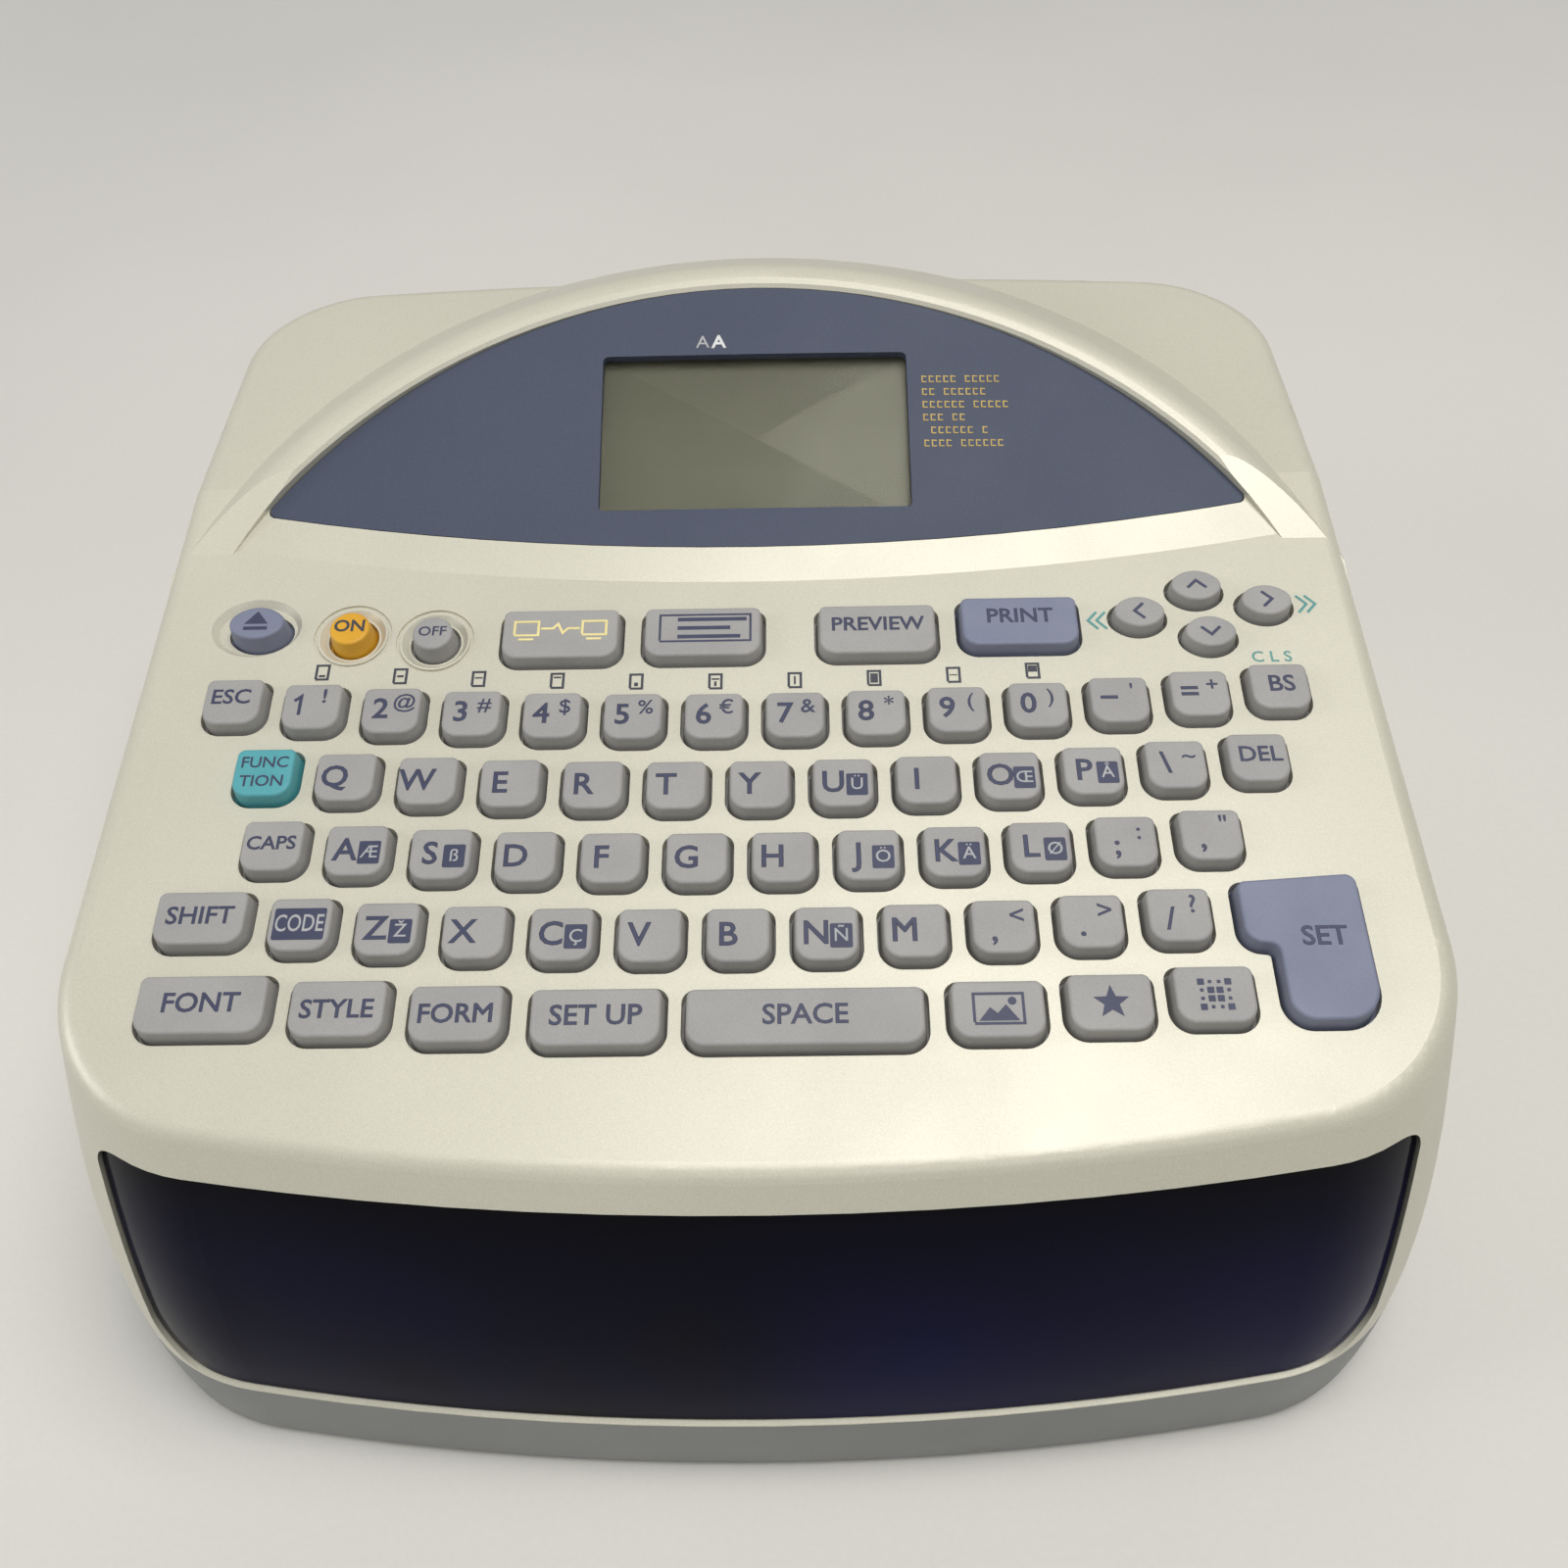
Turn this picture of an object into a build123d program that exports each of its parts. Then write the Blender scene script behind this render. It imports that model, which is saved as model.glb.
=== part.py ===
from build123d import *
from math import cos, hypot, pi, radians, sin, tan
import os

# Disc label printer: a keyboard on a sloped deck, a crescent display above it and a
# disc drawer behind the tall dark window in front.  Millimetres, +Z up, front is -Y,
# +X is to the right.  The origin is on the table, under the middle of the case.

# ---------------------------------------------------------------- driving sizes
# Case outline at four heights: the walls bulge gently and lean in towards the deck.
foot_height = 2.0
belt_z = 34.0                  # height of the widest outline
brow_z = 67.0                  # height of the deck's front edge
crown_z = 112.0                # outline that the walls are drawn up to
keyboard_side_margin = 14.15    # the brow's outline beyond the number row
base_bulge = 2.8               # half widths, beyond the brow's
belt_bulge = 3.8
crown_lean = 4.6
base_front_y = -100.9
belt_front_lean = 3.7          # how far the front has leant back at each height
brow_front_lean = 14.5
crown_front_lean = 31.4
belt_rear_y = 100.9
base_rear_lean = 2.2
crown_rear_lean = 1.4
front_bow_radius = 485.0       # the front is a shallow bow
rear_bow_radius = 900.0
base_corner_radius = 30.0
brow_corner_radius = 26.0
rear_corner_radius = 24.0
case_wall = 2.2
deck_edge_radius = 3.2

# Deck: a plane that rises to the rear, then a level shelf behind the display.
deck_slope = 10.0
deck_origin_y = -16.1          # middle of the number row
deck_origin_z = 79.5
shelf_z = 88.2

# Display: a shallow cone rising from the deck, with a low rim round its rear arc that rolls
# over into the slope behind.
display_tilt = 12.0            # steeper than the deck by this
display_start_y = 28.0         # deck y where the display face begins, on the centre line
display_crease_radius = 450.0
panel_arc_radius = 101.1
panel_crest_y = 57.9           # along the display face, from its start
panel_corner_radius = 1.2
panel_front_radius = 429.0
panel_front_y = 6.4
panel_thickness = 1.5
panel_gap = 0.15
panel_glue = 0.05
rim_height = 0.5
rim_slope = 40.0
rim_crest_width = 4.1
rim_edge_radius = 6.0          # the casing rolls over behind the panel
rim_front_limit = 20.0         # the wedge is under the deck in front of this
rim_outer_draft = 40.0
rim_depth = 42.0
rim_tip_y = 35.5               # deck y where the rim's ends die out
rim_tip_slope = 20.0
lcd_width = 52.6
lcd_depth = 30.4
lcd_top_margin = 13.8          # panel above the LCD window, on the centre line
lcd_corner_radius = 1.0
lcd_margin = 2.6
lcd_hole_gap = 0.2
lcd_flange = 2.2
lcd_flange_gap = 0.25
lcd_flange_thickness = 1.2
lcd_sink = 1.9
lcd_glass_thickness = 1.0
lcd_module_thickness = 5.0
bezel_floor = 1.6

# Parting line and front window.
lip_z = 15.5                   # top edge of the bottom case
window_low_z = 15.9
brow_band = 6.4                # casing between the window and the brow
window_side_margin = 7.2
window_low_radius = 9.0
window_high_radius = 5.0
window_wrap = 38.9             # how far back it wraps round the corners
window_gap = 0.4
window_sink = 0.8
window_thickness = 2.5

# Keys.
key_pitch = 12.5
row_pitch = 12.47
row_bow_radius = 817.0
key_height = 2.3
key_side_gap = 3.7             # between the tops of neighbours in a row
key_row_gap = 4.2
key_draft = 7.0
key_front_radius = 2.6
key_rear_radius = 1.1
key_edge_radius = 0.5
key_gap = 0.35
key_flange = 0.55
key_flange_gap = 0.15
key_travel = 1.5
key_rest_gap = 0.25
number_row_keys = 14
upper_row_keys = 12            # beside the function key
home_row_keys = 12
lower_row_keys = 11
upper_row_inset = 7.05         # rows start this far in from the number row
home_row_inset = 10.45
lower_row_inset = 16.55
shift_key_inset = 2.05
shift_key_width = 12.8
font_key_x = -76.6
font_key_width = 17.9
font_key_rise = 2.88           # it sits further back than its row
style_key_x = -57.5
style_key_width = 13.1
form_key_x = -41.0
form_key_width = 12.7
setup_key_x = -21.7
setup_key_width = 17.8
space_key_x = 7.1
space_key_width = 32.6
picture_key_x = 33.6
picture_key_width = 12.6
sign_key_x = 49.1
sign_key_width = 11.4
letter_key_x = 63.5
letter_key_width = 10.9
command_row_y = 16.3
command_key_width = 18.3
command_key_depth = 9.3
link_key_x = -31.0
memory_key_x = -8.3
preview_key_x = 19.5
print_key_x = 42.2
print_key_rise = 1.2
round_key_diameter = 6.3
on_key_x = -64.9
on_key_y = 18.0
off_key_x = -51.5
off_key_y = 16.8
arrow_width = 7.9
arrow_depth = 5.9
arrow_left_x = 61.4
arrow_left_y = 19.0
arrow_up_x = 71.2
arrow_up_y = 24.2
arrow_down_x = 72.2
arrow_down_y = 14.9
arrow_right_x = 82.0
arrow_right_y = 21.0
set_key_x = 77.6
set_key_y = -41.3
set_key_half_width = 8.5
set_key_rear_left = 11.3       # the rear edge rises to the right
set_key_rear_right = 12.4
set_key_front = 10.0
set_key_leg = 4.0              # left side of the leg, from the middle
set_key_step_left = 2.0
set_key_step_right = 1.4
sheet_thickness = 1.5
board_thickness = 1.6

eject_x = -80.1
eject_y = 19.4
eject_width = 8.7
eject_depth = 6.3
eject_stem_radius = 1.7
eject_stem_length = 41.0
scoop_depth = 1.1
ring_radius = 5.7
ring_width = 0.6
ring_depth = 0.4
dish_low_radius = 4.4
dish_high_radius = 5.3           # at the deck
dish_depth = 0.9

# Drawer.
disc_diameter = 120.0
disc_recess_clearance = 0.75
disc_recess_depth = 1.4
disc_front_margin = 69.9       # disc centre behind the foot of the front
tray_low_z = 20.5
tray_thickness = 2.4
tray_half_width = 75.9
tray_rear_y = 48.0
lug_inner_x = 40.0
lug_outer_x = 70.0
lug_rear_margin = 20.9
lug_height = 3.0
tray_screw_xs = (46.0, 64.0)
tray_screw_margin = 16.9
tray_front_gap = 0.05
tray_screw_diameter = 2.5
tray_screw_head_diameter = 4.2
tray_screw_head_height = 1.2
rail_running_gap = 0.1
rail_side_gap = 0.3
rail_lip = 2.4
rail_web = 2.0
rail_front_margin = 15.9
rail_rear_y = 58.0
hub_diameter = 14.8
hub_height = 3.4
hub_flange_diameter = 24.0
hub_slot_width = 1.0
mat_thickness = 0.6
mat_margin = 1.5

# Print carriage, its shafts and its drive.
chassis_side_gap = 0.6
chassis_front_y = -40.0
chassis_rear_y = 60.0
chassis_low_z = 16.0
chassis_high_z = 62.0
chassis_sheet = 1.2
chassis_foot_width = 12.0
shaft_diameter = 5.0
shaft_z = 56.0
shaft_ys = (22.0, 38.0)
bore_clearance = 0.05
band_y = 2.0                   # middle of the printed band
band_width = 17.0
carriage_half_width = 26.0
carriage_plate_y = 14.5
carriage_plate_thickness = 2.5
carriage_low_z = 29.0
carriage_high_z = 62.0
slider_half_width = 19.0
slider_rear_y = 43.2
slider_low_z = 50.0
cassette_front_y = -8.0
cassette_low_z = 26.5
cassette_high_z = 52.0
cassette_half_width = 25.5
cassette_wall = 1.2
notch_half_width = 9.6
notch_high_z = 43.0
spool_x = 17.0
spool_z = 41.0
spool_radius = 5.6
spool_clearance = 0.7
spindle_radius = 2.0
head_x = 5.8
head_length = 3.6
head_thickness = 2.2
head_z = 23.9
arm_pivot_x = -5.5
arm_pivot_z = 38.5
arm_boss_radius = 3.0
arm_pin_radius = 1.2
pulley_inset = 17.0            # from the chassis side
pulley_y = 46.0
pulley_z = 52.0
pulley_width = 5.0
pulley_radius = 5.6
pulley_flange = 1.2
axle_radius = 1.5
belt_thickness = 1.0
belt_width = 4.0
lug_slot_gap = 0.3
gear_module = 0.6
drive_teeth = 36
pinion_teeth = 12
gear_width = 2.6
motor_radius = 11.0
motor_length = 20.0
motor_shaft_radius = 1.0

# Latch.
lever_inset = 9.0              # from the chassis side
lever_pivot_z = 38.0
lever_boss_radius = 3.5
lever_pin_radius = 1.5
lever_thickness = 5.0
lever_side_gap = 0.4
lever_arm_thickness = 2.6
stem_gap = 0.15
nose_z = 22.2
nose_height = 2.4
nose_gap = 0.3
spring_radius = 2.2
spring_wire = 0.45
spring_turns = 4
spring_z = 30.0

# Fasteners, posts and feet.
screw_diameter = 3.0
screw_head_diameter = 5.6
screw_head_height = 2.4
screw_clearance = 0.2
screw_seat_z = 6.0
case_screw_length = 22.0
post_diameter = 8.0
post_clearance = 0.5
post_inset = 6.3               # from the brow's outline
post_front_margin = 43.9
post_rear_margin = 14.9
rear_post_x = 62.0
rear_post_margin = 9.9
shell_gap = 0.1
floor_thickness = 2.0
rib_half_width = 3.2
board_post_radius = 3.0
board_screw_diameter = 2.0
board_screw_length = 6.0
sheet_post_radius = 2.3
sheet_post_inset = 9.2
sheet_post_ys = (-24.0, 9.0)
front_sheet_post_x = 45.0
front_sheet_post_y = -58.3
sheet_margin = 0.6
sheet_post_clearance = 0.3
sheet_front_y = -62.0
sheet_rear_y = 27.0
foot_diameter = 14.0
foot_x = 78.0
foot_y = 74.0
foot_seat = 0.4

# Rear sockets and the main board.
main_board_z = 17.0
main_board_half_width = 76.0
main_board_rear_margin = 4.9
main_board_depth = 32.0
main_board_post_x = 40.0
main_board_post_front = 4.0
main_board_post_rear = 12.0
chip_size = 14.0
chip_x = -20.0
chip_y = 76.0
chip_height = 1.6
driver_width = 10.0
driver_depth = 18.0
driver_x = -52.0
driver_y = 80.0
driver_height = 2.0
regulator_width = 8.0
regulator_depth = 5.0
regulator_x = 58.0
regulator_y = 74.0
regulator_height = 1.4
jack_x = 30.0
jack_width = 9.0
jack_radius = 4.0
jack_bore_radius = 3.15
jack_pin_radius = 1.0
usb_x = 8.0
usb_width = 12.0
usb_mouth_width = 8.6
usb_mouth_height = 7.9
socket_depth = 9.0
socket_sink = 1.3              # socket mouths, in from the rear
jack_collar = 2.5
socket_length = 15.6
socket_height = 11.0
socket_clearance = 0.3

# Sizes that follow from those above.
key_width = key_pitch - key_side_gap
key_depth = row_pitch - key_row_gap
row_end_x = (number_row_keys - 1) / 2 * key_pitch
brow_half_width = row_end_x + key_width / 2 + keyboard_side_margin
base_half_width = brow_half_width + base_bulge
belt_half_width = brow_half_width + belt_bulge
crown_half_width = brow_half_width - crown_lean
belt_front_y = base_front_y + belt_front_lean
brow_front_y = base_front_y + brow_front_lean
crown_front_y = base_front_y + crown_front_lean
base_rear_y = belt_rear_y - base_rear_lean
crown_rear_y = belt_rear_y - crown_rear_lean
panel_arc_centre_y = panel_crest_y - panel_arc_radius
lcd_centre_y = panel_crest_y - lcd_top_margin - lcd_depth / 2
window_high_z = brow_z - brow_band
window_half_width = brow_half_width - window_side_margin
window_reach_y = base_front_y + window_wrap
disc_centre_y = base_front_y + disc_front_margin
lug_rear_y = base_front_y + lug_rear_margin
tray_screw_y = base_front_y + tray_screw_margin
rail_front_y = base_front_y + rail_front_margin
chassis_half_width = brow_half_width - case_wall - chassis_side_gap
pulley_x = chassis_half_width - pulley_inset
lever_pivot_x = -(chassis_half_width - lever_inset)
post_x = brow_half_width - post_inset
post_front_y = base_front_y + post_front_margin
post_rear_y = belt_rear_y - post_rear_margin
rear_post_y = belt_rear_y - rear_post_margin
sheet_post_x = brow_half_width - sheet_post_inset
main_board_rear_y = belt_rear_y - main_board_rear_margin
main_board_front_y = main_board_rear_y - main_board_depth
socket_rear_y = belt_rear_y - socket_sink
jack_body_rear_y = socket_rear_y - jack_collar
socket_front_y = socket_rear_y - socket_length

os.makedirs("parts", exist_ok=True)


# ---------------------------------------------------------------- helpers
def block(x0, x1, y0, y1, z0, z1):
    """Box from its low and high corners."""
    size = Box(x1 - x0, y1 - y0, z1 - z0, align=(Align.MIN, Align.MIN, Align.MIN))
    return Pos(x0, y0, z0) * size


def rod(x, y, z, radius, length, axis="Z"):
    """Cylinder that starts at a point and runs along an axis."""
    turn = {"Z": Rot(0, 0, 0), "X": Rot(0, 90, 0), "Y": Rot(-90, 0, 0)}[axis]
    base = (Align.CENTER, Align.CENTER, Align.MIN)
    return Pos(x, y, z) * turn * Cylinder(radius, length, align=base)


def tube(x, y, z, outer, inner, length, axis="Z"):
    return rod(x, y, z, outer, length, axis) - rod(x, y, z, inner, length, axis)


def save(node, shape):
    export_step(shape, f"parts/{node}.step")


def group(shapes):
    return Compound(children=list(shapes))


# ---------------------------------------------------------------- case outlines
def outline(z, half_width, front_y, rear_y, front_radius, rear_radius):
    """Closed plan outline: bowed front, straight sides, round corners."""
    front_sag = half_width**2 / (2 * front_bow_radius)
    rear_sag = half_width**2 / (2 * rear_bow_radius)
    left_front = (-half_width, front_y + front_sag)
    right_front = (half_width, front_y + front_sag)
    right_rear = (half_width, rear_y - rear_sag)
    left_rear = (-half_width, rear_y - rear_sag)
    edges = [
        ThreePointArc(left_front, (0, front_y), right_front),
        Line(right_front, right_rear),
        ThreePointArc(right_rear, (0, rear_y), left_rear),
        Line(left_rear, left_front),
    ]
    face = make_face(Wire(edges))
    face = fillet(face.vertices().sort_by(Axis.Y)[:2], front_radius)
    rear = [v for v in face.vertices() if abs(v.Y - right_rear[1]) < 0.01]
    face = fillet([v for v in rear if abs(abs(v.X) - half_width) < 0.01], rear_radius)
    return Pos(0, 0, z) * face


def case_form(inset=0.0):
    """Solid inside the case walls, moved in by inset, from the feet to the crown."""
    heights = (foot_height, belt_z, brow_z, crown_z)
    widths = (base_half_width, belt_half_width, brow_half_width, crown_half_width)
    fronts = (base_front_y, belt_front_y, brow_front_y, crown_front_y)
    rears = (base_rear_y, belt_rear_y, belt_rear_y, crown_rear_y)
    corners = (base_corner_radius, base_corner_radius, brow_corner_radius, brow_corner_radius)
    faces = []
    for z, width, front, rear, corner in zip(heights, widths, fronts, rears, corners):
        face = outline(z, width - inset, front + inset, rear - inset,
                       corner - inset, rear_corner_radius - inset)
        faces.append(face)
    return loft(faces)


deck_normal = (0, -sin(radians(deck_slope)), cos(radians(deck_slope)))
deck = Plane(origin=(0, deck_origin_y, deck_origin_z), x_dir=(1, 0, 0), z_dir=deck_normal)
face_angle = deck_slope + display_tilt
face_normal = (0, -sin(radians(face_angle)), cos(radians(face_angle)))
face_origin = deck.from_local_coords(Vector(0, display_start_y, 0))
face = Plane(origin=face_origin, x_dir=(1, 0, 0), z_dir=face_normal)
far = 300.0                    # larger than the object, for cutting solids


def under_deck(drop=0.0):
    """Everything below the deck plane and the shelf, lowered by drop."""
    below = Box(2 * far, 2 * far, far, align=(Align.CENTER, Align.CENTER, Align.MAX))
    sloped = deck.location * Pos(0, 0, -drop) * below
    level = Pos(0, 0, shelf_z - drop) * below
    return sloped & level


def display_cone(drop=0.0):
    """The cone whose top is the display face, lowered by drop."""
    half_height = 30.0
    spread = half_height / tan(radians(display_tilt))
    cone = Cone(display_crease_radius + spread, display_crease_radius - spread, 2 * half_height,
                align=(Align.CENTER, Align.CENTER, Align.CENTER))
    return deck.location * Pos(0, display_start_y + display_crease_radius, -drop) * cone


def face_cylinder(radius, low, high):
    """Cylinder square to the display face, round the centre of the panel's rear arc."""
    base = (Align.CENTER, Align.CENTER, Align.MIN)
    solid = Cylinder(radius, high - low, align=base)
    return face.location * Pos(0, panel_arc_centre_y, low) * solid


def face_frustum(low_radius, high_radius, low, high):
    base = (Align.CENTER, Align.CENTER, Align.MIN)
    solid = Cone(low_radius, high_radius, high - low, align=base)
    return face.location * Pos(0, panel_arc_centre_y, low) * solid


rim_run = rim_height / tan(radians(rim_slope))
rim_outer_radius = panel_arc_radius + rim_run + rim_crest_width
rim_foot_radius = rim_outer_radius + (rim_depth + rim_height) * tan(radians(rim_outer_draft))


def crescent(inset):
    """Plan of the display panel on the display face, moved in by inset."""
    front_centre = panel_front_y + panel_front_radius
    back = Circle(panel_arc_radius - inset)
    front = Circle(panel_front_radius - inset)
    shape = (Pos(0, panel_arc_centre_y) * back) & (Pos(0, front_centre) * front)
    tips = shape.vertices()
    return fillet(tips, panel_corner_radius)


def display_block():
    """The raised display wedge and its rim, before hollowing."""
    outer = face_frustum(rim_foot_radius, rim_outer_radius, -rim_depth, rim_height)
    outer = fillet(outer.edges().sort_by(Axis.Z)[-1], rim_edge_radius)
    wedge = display_cone() & outer
    funnel = face_frustum(panel_arc_radius, panel_arc_radius + 2 * rim_run, 0, 2 * rim_height)
    dish = face_cylinder(panel_arc_radius, -rim_depth, 0)
    below = Box(2 * far, 2 * far, far, align=(Align.CENTER, Align.CENTER, Align.MAX))
    ramp = deck.location * Pos(0, rim_tip_y, 0) * Rot(rim_tip_slope, 0, 0) * below
    rim = (outer - funnel - dish) & ramp
    rear_part = deck.location * block(-far, far, rim_front_limit, far, -far, far) & case_form()
    hood = (wedge & rear_part) + (rim & rear_part)
    rear_edges = [e for e in hood.edges() if e.center().Y > rear_post_y]
    return fillet(max(rear_edges, key=lambda e: e.center().Z), deck_edge_radius)


# ---------------------------------------------------------------- keys
def rounded(width, depth, front_radius, rear_radius):
    """Rounded key plan: the front corners are rounder than the rear ones."""
    face_plan = Rectangle(width, depth)
    corners = face_plan.vertices().sort_by(Axis.Y)
    face_plan = fillet(corners[:2], front_radius)
    corners = face_plan.vertices().sort_by(Axis.Y)[-2:]
    return fillet(corners, rear_radius)


cap_depth = case_wall + key_height
cap_spread = cap_depth * tan(radians(key_draft))


def cap(top_face, edge=key_edge_radius):
    """Key cap under a plan of its top face: tapered, with a retaining flange."""
    body = extrude(top_face, amount=-cap_depth, taper=-key_draft)
    top_edges = body.edges().filter_by_position(Axis.Z, -0.01, 0.01)
    body = fillet(top_edges, edge)
    collar = offset(top_face, amount=cap_spread + key_flange)
    flange = Pos(0, 0, -cap_depth - key_flange_gap) * extrude(collar, amount=-key_flange)
    neck = Pos(0, 0, -cap_depth) * extrude(offset(top_face, amount=cap_spread * 0.9),
                                           amount=-key_flange_gap)
    return Pos(0, 0, key_height) * (body + neck + flange)


def hole(top_face):
    """Clearance hole through the deck for a cap with this top face."""
    plan = offset(top_face, amount=cap_spread + key_gap)
    return Pos(0, 0, -2 * case_wall) * extrude(plan, amount=3 * case_wall)


def bowed(x, y):
    """Key place in a row: the ends of every row sit a little further back."""
    return Pos(x, y + x**2 / (2 * row_bow_radius), 0)


def letter_row(inset, count, row):
    plan = rounded(key_width, key_depth, key_front_radius, key_rear_radius)
    return [(plan, bowed(inset - row_end_x + i * key_pitch, -row * row_pitch)) for i in range(count)]


def bar_key(x, width, row):
    plan = rounded(width, key_depth, key_front_radius, key_rear_radius)
    return (plan, bowed(x, -row * row_pitch))


def command_key(x, y=command_row_y):
    plan = rounded(command_key_width, command_key_depth, key_front_radius, key_rear_radius)
    return (plan, Pos(x, y, 0))


def oval(width, depth):
    """Oval plan from four tangent arcs."""
    a = width / 2
    b = depth / 2
    end_radius = 0.72 * b
    side_radius = ((a - end_radius)**2 + b**2 - end_radius**2) / (2 * (b - end_radius))
    reach = hypot(a - end_radius, side_radius - b)
    x = (a - end_radius) * side_radius / reach
    y = (side_radius - b) * side_radius / reach - (side_radius - b)
    edges = [
        ThreePointArc((-x, y), (0, b), (x, y)),
        ThreePointArc((x, y), (a, 0), (x, -y)),
        ThreePointArc((x, -y), (0, -b), (-x, -y)),
        ThreePointArc((-x, -y), (-a, 0), (-x, y)),
    ]
    return make_face(Wire(edges))


def oval_key(x, y, width=arrow_width, depth=arrow_depth):
    return (oval(width, depth), Pos(x, y, 0))


def round_key(x, y):
    return (make_face(Circle(round_key_diameter / 2).edges()), Pos(x, y, 0))


def set_key_plan():
    """Stepped key: a wide head over a narrower leg."""
    half = set_key_half_width
    radii = {
        (-half, set_key_rear_left): 1.2,
        (half, set_key_rear_right): 1.5,
        (half, -set_key_front): 5.0,
        (-set_key_leg, -set_key_front): 3.4,
        (-set_key_leg, set_key_step_right): 1.4,
        (-half, set_key_step_left): 2.6,
    }
    plan = make_face(Polyline(*radii, close=True).edges())
    for place, radius in radii.items():
        near = sorted(plan.vertices(), key=lambda v: hypot(v.X - place[0], v.Y - place[1]))[0]
        plan = fillet(near, radius)
    return plan


def font_key():
    plan = rounded(font_key_width, key_depth + 0.3, key_front_radius, key_rear_radius)
    return (plan, Pos(font_key_x, font_key_rise - 4 * row_pitch, 0))


key_sets = {
    "eject_key": [oval_key(eject_x, eject_y, eject_width, eject_depth)],
    "on_key": [round_key(on_key_x, on_key_y)],
    "off_key": [round_key(off_key_x, off_key_y)],
    "link_key": [command_key(link_key_x)],
    "memory_key": [command_key(memory_key_x)],
    "preview_key": [command_key(preview_key_x)],
    "print_key": [command_key(print_key_x, command_row_y + print_key_rise)],
    "left_key": [oval_key(arrow_left_x, arrow_left_y)],
    "up_key": [oval_key(arrow_up_x, arrow_up_y)],
    "down_key": [oval_key(arrow_down_x, arrow_down_y)],
    "right_key": [oval_key(arrow_right_x, arrow_right_y)],
    "number_keys": letter_row(0, number_row_keys, 0),
    "function_key": letter_row(upper_row_inset, 1, 1),
    "upper_letter_keys": letter_row(upper_row_inset + key_pitch, upper_row_keys, 1),
    "home_letter_keys": letter_row(home_row_inset, home_row_keys, 2),
    "shift_key": [bar_key(shift_key_inset - row_end_x, shift_key_width, 3)],
    "lower_letter_keys": letter_row(lower_row_inset, lower_row_keys, 3),
    "space_key": [bar_key(space_key_x, space_key_width, 4)],
    "bottom_row_keys": [
        font_key(),
        bar_key(style_key_x, style_key_width, 4),
        bar_key(form_key_x, form_key_width, 4),
        bar_key(setup_key_x, setup_key_width, 4),
        bar_key(picture_key_x, picture_key_width, 4),
        bar_key(sign_key_x, sign_key_width, 4),
        bar_key(letter_key_x, letter_key_width, 4),
    ],
    "set_key": [(set_key_plan(), Pos(set_key_x, set_key_y, 0))],
}


def place_key(plan, place):
    return deck.location * place * cap(plan)


# ---------------------------------------------------------------- case shells
def window_prism(gap=0.0):
    """The front window's outline, run straight back through the front wall."""
    low = window_low_z + gap
    high = window_high_z - gap
    half = window_half_width - gap
    plan = Rectangle(2 * half, high - low)
    corners = plan.vertices().sort_by(Axis.Y)
    plan = fillet(corners[:2], window_low_radius)
    corners = plan.vertices().sort_by(Axis.Y)[-2:]
    plan = fillet(corners, window_high_radius)
    upright = Plane(origin=(0, window_reach_y, (low + high) / 2), x_dir=(1, 0, 0),
                    z_dir=(0, -1, 0))
    return upright.location * extrude(plan, amount=far)


post_places = [(sign * post_x, y) for sign in (-1, 1) for y in (post_front_y, post_rear_y)]
post_places += [(sign * rear_post_x, rear_post_y) for sign in (-1, 1)]
sheet_post_places = [(sign * sheet_post_x, y) for sign in (-1, 1) for y in sheet_post_ys]
sheet_post_places += [(sign * front_sheet_post_x, front_sheet_post_y) for sign in (-1, 1)]

rail_low_z = tray_low_z - rail_running_gap - rail_lip
rail_centre_x = tray_half_width + rail_side_gap + rail_web - rib_half_width
socket_z = main_board_z + board_thickness + socket_height / 2
board_post_ys = (main_board_front_y + main_board_post_front, main_board_rear_y - main_board_post_rear)
board_post_places = [(sign * main_board_post_x, y) for sign in (-1, 1) for y in board_post_ys]
foot_places = [(sx * foot_x, sy * foot_y) for sx in (-1, 1) for sy in (-1, 1)]
chassis_posts = [(sx * (chassis_half_width - chassis_foot_width / 2), y)
                 for sx in (-1, 1) for y in (chassis_front_y + 6, chassis_rear_y - 8)]
sheet_top = -(case_wall + key_flange_gap + key_flange + key_travel + key_rest_gap)
board_top = sheet_top - sheet_thickness
board_low = board_top - board_thickness


def on_deck(solid):
    return deck.location * solid


def on_face(solid):
    return face.location * solid


def eject_scoop():
    base = make_face(Ellipse(6.3, 4.8).edges())
    return Pos(eject_x - 0.7, eject_y + 0.6, -scoop_depth) * extrude(base, amount=4, taper=-42)


def key_ring(x, y):
    """Shallow dish and a fine ring groove round a round key."""
    flare = (dish_high_radius - dish_low_radius) / dish_depth
    rise = dish_depth + ring_depth
    dish = Cone(dish_low_radius, dish_low_radius + flare * rise, rise,
                align=(Align.CENTER, Align.CENTER, Align.MIN))
    dish = Pos(x, y, -dish_depth) * dish
    groove = tube(x, y, -ring_depth, ring_radius + ring_width, ring_radius, 2)
    return dish + groove


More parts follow.
